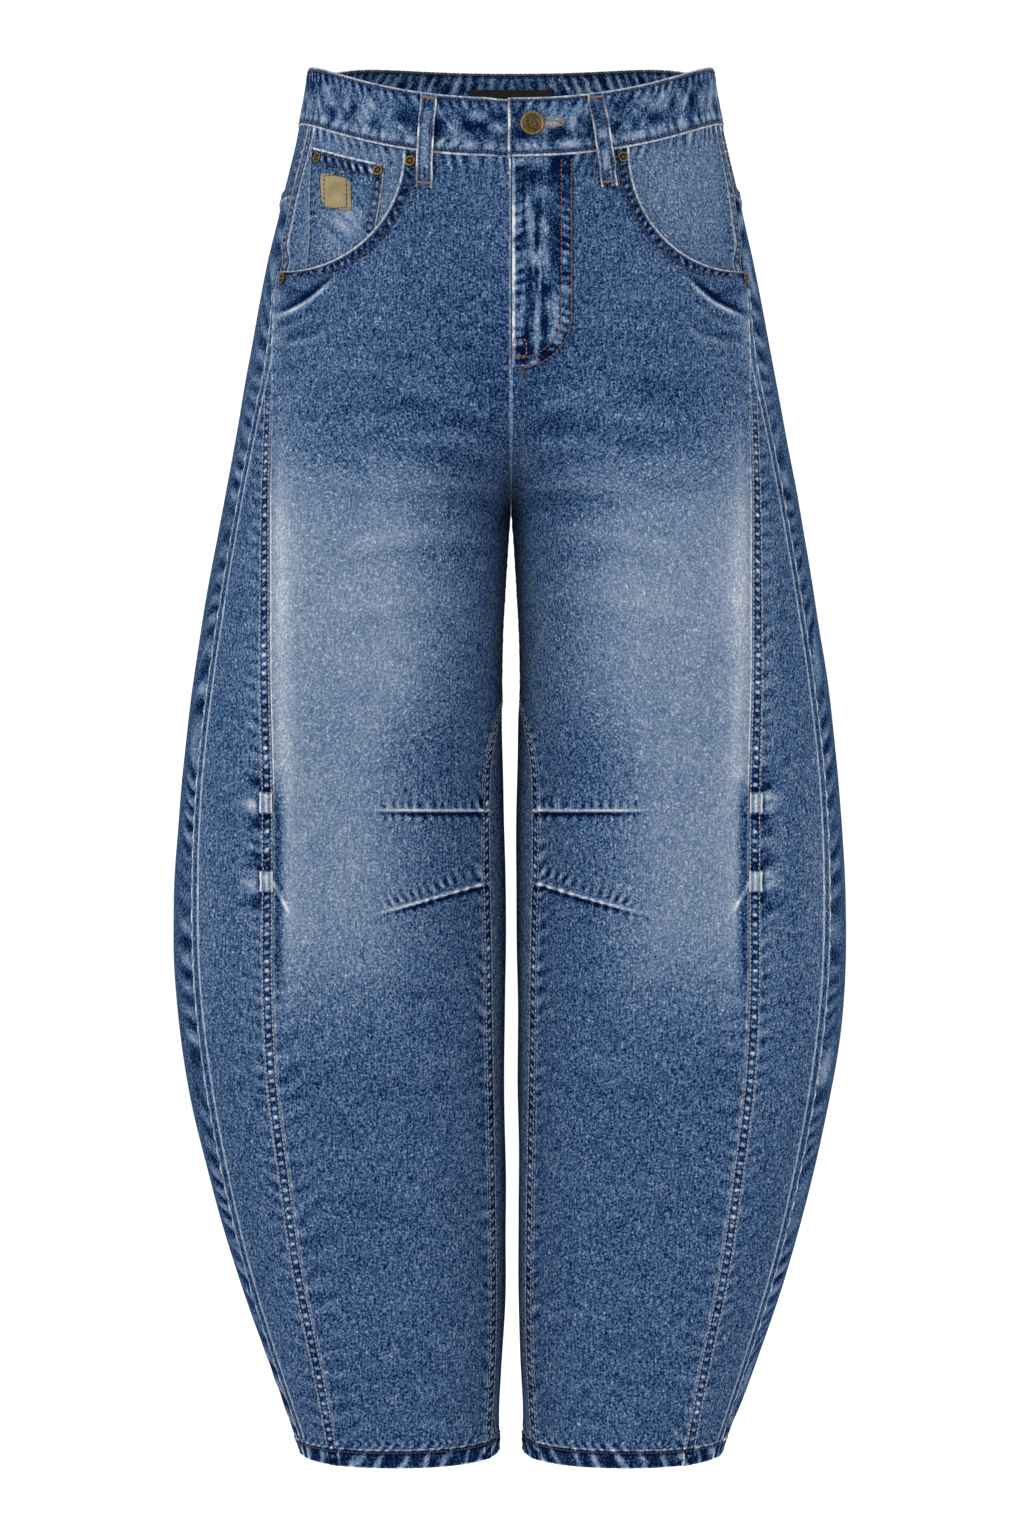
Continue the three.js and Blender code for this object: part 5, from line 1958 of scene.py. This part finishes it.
@dataclass
class Waistband(Panel):
    """One half of the waistband. At the front the left half buttons over the right one."""

    wall: float = 3.0
    slot: str = "denim_band"
    stem: str = "waistband"
    seeds: tuple[int, int] = (121, 131)
    wash: float = 0.27
    worn: tuple[Worn, ...] = (
        Worn(TOP, 0.4, 1.3, 0.95), Worn(BOTTOM, 0.5, 1.3, 0.95), Worn(START, 0.6, 1.5, 0.95),
    )
    rows_sewn: tuple[tuple[Edge, float], ...] = ((TOP, 2.3), (BOTTOM, 2.5))
    end_sewn: float = 2.2
    raised: float = 1.0
    over: float = -2.0
    under: float = 38.0
    hole: tuple[float, float] = (29.0, -56.4)

    def cloth(self) -> Cloth:
        """Lays and raises the cloth."""
        level = -np.concatenate([[0, 0.5, 1.2, 2.1], np.linspace(3.2, 37.8, 21), [38.9, 39.8, 40.5, 41]])
        end = self.over if self.side is Side.LEFT else -self.under
        angles = (FORM.angle_at(end, level), FORM.middle(level, False))
        cloth = FORM.lay(self.side, Rows((level, level), angles, (0.0, 0.0)), spread(210))
        reach = self.under - self.over + 2
        cloth.lift += self.raised - 0.45 * bump(cloth.top, 0, 0.9) - 0.45 * bump(cloth.bottom, 0, 0.9)
        if self.side is Side.RIGHT:
            cloth.lift -= (self.wall + 0.5) * (1 - smooth(cloth.start, reach, reach + 16))
        else:
            cloth.lift -= 0.45 * bump(cloth.start, 0, 1.0)
        seed = self.seed
        behind = smooth(cloth.points[..., 1], 0, 16)
        cloth.pucker(TOP, 7.5, 3.2, 0.35, seed=seed, offset=6, rub_and_shading=1.6, where=1 - behind)
        cloth.ripple(cloth.start, cloth.top - 9, 8.4, 9, 0.3, seed + 5, 1.5, behind)
        cloth.pucker(BOTTOM, 9.5, 3.8, 0.5, seed=seed + 1, offset=7, rub_and_shading=1.3, drift=6)
        cloth.rub_and_shading += 1.0 * bump(cloth.bottom, 6.8, 3.2)
        for edge, place in self.rows_sewn:
            cloth.groove(edge, place, 0.9, 1.2)
        blotch = NOISE(cloth.start / 6.5, cloth.top / 8, seed + 2)
        streak = NOISE((cloth.start + 0.8 * cloth.top) / 3.2, (cloth.start - 0.8 * cloth.top) / 16, seed + 3)
        body = bump(cloth.top, 20, 13)
        cloth.rub_and_shading += (1.7 * blotch + 2.6 * np.maximum(0, streak - 0.3)) * body
        cloth.lift += (0.3 * blotch + 0.25 * np.maximum(0, streak - 0.25)) * body
        if self.side is Side.LEFT:
            x, z = self.hole
            along = cloth.across - x
            cloth.rub_and_shading += 3.5 * bump(cloth.height, z, 1.4) * smooth(along, -7, -5) * (1 - smooth(along, 2, 5))
            cloth.groove(START, self.end_sewn, 0.9, 0.8)
        cloth.rub_and_shading = np.minimum(cloth.rub_and_shading, 1.7)
        return cloth

    def sewing(self, cloth: Cloth) -> list[Sewing]:
        """What is sewn on it."""
        def behind(c: Cloth) -> Array:
            """Points of the back."""
            return c.points[..., 1] > 10

        lines = [cloth.line(edge, place) for edge, place in self.rows_sewn]
        for place in (0.9, 2.1):
            points, normals = cloth.line(TOP, place, behind)
            lines.append((points - normals * self.wall, -normals))
        if self.side is Side.RIGHT:
            return [Sewing(Trim.BROWN, lines)]
        lines.append(cloth.line(START, self.end_sewn))
        return [Sewing(Trim.BROWN, lines), self.buttonhole(cloth)]

    def buttonhole(self, cloth: Cloth) -> Sewing:
        """The closely sewn rim of the buttonhole: two sides that meet in a bar.

        Args:
            cloth: The left half.

        Returns:
            The gold thread.
        """
        x, z = self.hole
        rim = Sewing(Trim.GOLD)
        for ends, length, width in (
            (((x - 7, z + 3.2), (x + 6, z + 0.9)), 13.2, 1.6),
            (((x - 7, z - 3.6), (x + 6, z - 0.9)), 13.2, 1.6),
            (((x + 6.6, z - 1.8), (x + 6.6, z + 1.8)), 3.6, 2.0),
        ):
            points, normals = cloth.trace(ends)
            middle = len(points) // 2
            rim.bars.append((points[middle], points[-1] - points[0], normals[middle], length, width))
        return rim


@dataclass
class BeltLoop(Panel):
    """A belt loop: name, front or back, and its distances from the middle at the top and the bottom."""

    label: str = ""
    front: bool = True
    top_x: float = 0.0
    bottom_x: float = 0.0
    wall: float = 1.6
    slot: str = "denim_band"
    half: float = 5.5
    sewn: float = 2.2

    @property
    def name(self) -> str:
        """Name of the CAD node that it stands for."""
        return f"belt_loop_{self.label}"

    def cloth(self) -> Cloth:
        """Lays and raises the cloth."""
        share = np.linspace(0, 1, 56)
        level, x = mix(-1.5, -70.5, share), mix(self.top_x, self.bottom_x, share)
        near, far = (FORM.angle_at(x + half, level, self.front) for half in (-self.half, self.half))
        rows = Rows((level, level), (near, far) if self.front else (far, near), (0.0, 0.0))
        cloth = FORM.lay(self.side, rows, spread(14))
        down = share[:, None]
        rise = mix(1.4, 4.6, smooth(down, 0.1, 0.3))
        cloth.lift += mix(rise, 1.3, smooth(down, 0.72, 0.9)) + self.wall
        cloth.rub_and_shading += 1.2 * NOISE(cloth.top / 7, cloth.start / 6, 141 + len(self.label))
        for edge in (START, END):
            cloth.groove(edge, 2.3, 0.8, 0.9)
            cloth.lift -= 0.5 * bump(cloth.away(edge), 0, 0.7)
        return cloth

    def finish(self) -> DenimFinish:
        """Its finish."""
        worn = tuple(Worn(edge, 0.4, 1.0, 0.65) for edge in (START, END))
        return DenimFinish("denim_loop", 0.4, worn)

    def sewing(self, cloth: Cloth) -> list[Sewing]:
        """What is sewn on it."""
        rust = Sewing(Trim.RUST)
        for row in (2, -4):
            middle = cloth.start.shape[1] // 2
            point, up = cloth.surface[row, middle], cloth.normals[row, middle]
            across = cloth.surface[row, -2] - cloth.surface[row, 1]
            rust.bars.append((point, across, up, 2 * self.half - 1, 1.8))
        lines = [cloth.line(edge, self.sewn) for edge in (START, END)]
        return [Sewing(Trim.BROWN, lines), rust]


@dataclass
class Label(Panel):
    """The plain label inside the back of the waistband."""

    wall: float = 0.8
    slot: str = "label"
    flip: bool = True
    stem: str = "label"
    sided: bool = False

    def cloth(self) -> Cloth:
        """Lays and raises the cloth."""
        level = levels_between(-12.3, -36.7, 1.5)
        start = FORM.angle_at(31.0, level, False)
        cloth = FORM.lay(self.side, Rows((level, level), (start, math.pi - start), (0.0, 0.0)), spread(40))
        cloth.lift -= 3.4
        return cloth

    def finish(self) -> PlainFinish:
        """Its finish."""
        return LABEL_FINISH


@dataclass
class Stud:
    """A turned metal piece: its outline is pairs of radius and height from the rim in."""

    name: str
    side: Side
    x: float
    level: float
    stand: float
    outline: tuple[tuple[float, float], ...]
    steps: int = 40
    shine: float = 2.2
    dull_below: float = 0.9

    def build(self, shop: Workshop) -> None:
        """Spins the outline, puts it on its cloth and into the scene.

        Args:
            shop: Makes the piece.
        """
        angle = FORM.angle_at(np.array(self.x), np.array(self.level))
        point = FORM.point(self.side, angle, FORM.row_height(np.array(self.level), angle))
        normal = FORM.normal(self.side, point)
        shape = bmesh.new()
        ring = [shape.verts.new((radius, 0, height)) for radius, height in self.outline]
        edges = [shape.edges.new(pair) for pair in zip(ring, ring[1:])]
        bmesh.ops.spin(shape, geom=ring + edges, cent=(0, 0, 0), axis=(0, 0, 1), dvec=(0, 0, 0),
                       angle=math.tau, steps=self.steps, use_merge=True, use_duplicate=False)
        bmesh.ops.remove_doubles(shape, verts=shape.verts, dist=0.01)
        bmesh.ops.recalc_face_normals(shape, faces=shape.faces)
        tallest = max(vertex.co.z for vertex in shape.verts)
        tones = [self.shine * (vertex.co.z / tallest - self.dull_below) for vertex in shape.verts]
        turn = Vector(normal).to_track_quat("Z", "Y").to_matrix().to_4x4()
        place = Matrix.Scale(MM, 4) @ Matrix.Translation(Vector(point + normal * self.stand)) @ turn
        bmesh.ops.transform(shape, matrix=place, verts=shape.verts)
        mesh = bpy.data.meshes.new(self.name + "_metal")
        shape.to_mesh(mesh)
        shape.free()
        mesh.attributes.new("rub_and_shading", "FLOAT", "POINT").data.foreach_set("value", tones)
        mesh.shade_smooth()
        piece = shop.show(self.name + "_metal", mesh, BRASS)
        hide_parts(self.name)
        LOG.info("%s", self.name)


BUTTON_OUTLINE = (
    (0, 0), (4, 0), (4, 1.6), (7.9, 1.6), (8.4, 2.0), (8.5, 2.6), (8.4, 3.4), (8.0, 4.0), (7.3, 4.2),
    (6.6, 3.9), (6.2, 3.4), (5.9, 3.3), (5.6, 3.5), (5.2, 3.6), (4.8, 3.4), (4.4, 3.2), (2.4, 3.5),
    (1.6, 3.6), (1.3, 3.3), (0, 3.2),
)
RIVET_OUTLINE = (
    (0, 0), (3.8, 0), (3.85, 0.45), (3.6, 0.95), (3.1, 1.2), (2.6, 1.05), (2.2, 0.4), (1.6, 0.35), (1.2, 0.7),
    (0.9, 0.95), (0.5, 1.05), (0, 1.05),
)
PANEL_STAND = 0.89  # How far a rivet on a front panel stands off the skin.
COIN_STAND = 1.7  # How far a rivet on the coin pocket stands off the facing.


@dataclass
class Studio:
    """Camera, light and floor, in metres."""

    camera_place: tuple[float, float, float] = (0.0007, -2.5, -0.497)
    lens: float = 82.03
    aim: tuple[float, float, float] = (0, 0, -0.45)
    sky: float = 1.1
    floor: float = -1.35
    floor_size: float = 30
    # Name, place, size and power of each lamp.
    lamps: tuple[tuple[str, tuple[float, float, float], float, float], ...] = (
        ("key", (-2.0, -1.9, 0.8), 1.8, 66),
        ("fill", (2.3, -1.6, 0.2), 2.0, 36),
        ("top", (0.2, 0.3, 2.0), 1.6, 20),
    )

    def build(self) -> None:
        """Puts up the camera, the lamps, the white world and the floor."""
        scene = bpy.context.scene
        camera = self.hang("camera", bpy.data.cameras.new("camera"), self.camera_place)
        camera.rotation_euler = (math.pi / 2, 0, 0)
        camera.data.lens = self.lens
        camera.data.clip_end = 100
        scene.camera = camera
        scene.view_settings.view_transform = "Standard"
        for name, place, size, power in self.lamps:
            lamp = bpy.data.lights.new(name, "AREA")
            lamp.shape, lamp.size, lamp.energy = "DISK", size, power
            aim = Vector(self.aim) - Vector(place)
            self.hang(name, lamp, place).rotation_euler = aim.to_track_quat("-Z", "Y").to_euler()
        world = bpy.data.worlds.new("studio")
        world.use_nodes = True
        sky = world.node_tree.nodes["Background"].inputs
        sky["Color"].default_value, sky["Strength"].default_value = (1, 1, 1, 1), self.sky
        scene.world = world
        self.lay_floor()

    def hang(self, name: str, data: bpy.types.ID, place: tuple[float, float, float]) -> bpy.types.Object:
        """Puts a camera, a lamp or a mesh into the scene.

        Args:
            name: The object's name.
            data: What it shows.
            place: Where it hangs.

        Returns:
            The object.
        """
        hung = bpy.data.objects.new(name, data)
        hung.location = place
        bpy.context.scene.collection.objects.link(hung)
        return hung

    def lay_floor(self) -> None:
        """Lays the pale floor, well below the hem."""
        shape = bmesh.new()
        bmesh.ops.create_grid(shape, x_segments=1, y_segments=1, size=self.floor_size,
                              matrix=Matrix.Translation((0, 0, self.floor)))
        mesh = bpy.data.meshes.new("floor")
        shape.to_mesh(mesh)
        shape.free()
        pale = bpy.data.materials.new("floor_pale")
        pale.use_nodes = True
        looks = pale.node_tree.nodes["Principled BSDF"].inputs
        looks["Base Color"].default_value, looks["Roughness"].default_value = (0.93, 0.93, 0.93, 1), 0.9
        mesh.materials.append(pale)
        self.hang("floor", mesh, (0, 0, 0))


def facing_stand(x: float, level: float) -> float:
    """How far a rivet on the coin pocket stands off the skin."""
    return float(PocketFacing(Side.RIGHT).shift(np.array(x), np.array(level))) + COIN_STAND


def studs() -> list[Stud]:
    """The button and the rivets."""
    made = [Stud("button", Side.LEFT, 14.4, -19.2, 1.35, BUTTON_OUTLINE)]
    made += [Stud("rivet_" + name, side, x, level, PANEL_STAND, RIVET_OUTLINE) for name, side, x, level in (
        ("pocket_top_left", Side.LEFT, 76.3, -48), ("pocket_top_right", Side.RIGHT, 68.8, -50),
        ("pocket_side_left", Side.LEFT, 163.6, -150.5), ("pocket_side_right", Side.RIGHT, 159.2, -151),
    )]
    made += [Stud("rivet_" + name, Side.RIGHT, x, level, facing_stand(x, level), RIVET_OUTLINE)
             for name, x, level in (("coin_inner", 92, -60.7), ("coin_outer", 133.5, -61.7))]
    return made


def panels() -> list[Panel]:
    """All the pieces of cloth."""
    made: list[Panel] = []
    for side in Side:
        made += [kind(side) for kind in (FrontPanel, BarrelPanel, BackPanel, Yoke, PocketFacing, Waistband)]
    made += [CoinPocket(Side.RIGHT), Patch(Side.RIGHT), Fly(Side.LEFT), Label(Side.LEFT)]
    made += [
        BeltLoop(Side.LEFT, label="front_left", top_x=57.3, bottom_x=67),
        BeltLoop(Side.RIGHT, label="front_right", top_x=55.7, bottom_x=59),
        BeltLoop(Side.LEFT, label="back_left", front=False, top_x=92, bottom_x=97),
        BeltLoop(Side.RIGHT, label="back_right", front=False, top_x=92, bottom_x=97),
        BeltLoop(Side.LEFT, label="back_middle", front=False),
    ]
    return made


def main() -> None:
    """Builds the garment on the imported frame."""
    logging.basicConfig(level=logging.INFO, format="%(name)s: %(message)s")
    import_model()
    Studio().build()
    shop = Workshop()
    for panel in panels():
        panel.build(shop)
    for stud in studs():
        stud.build(shop)


if __name__ == "__main__":
    main()
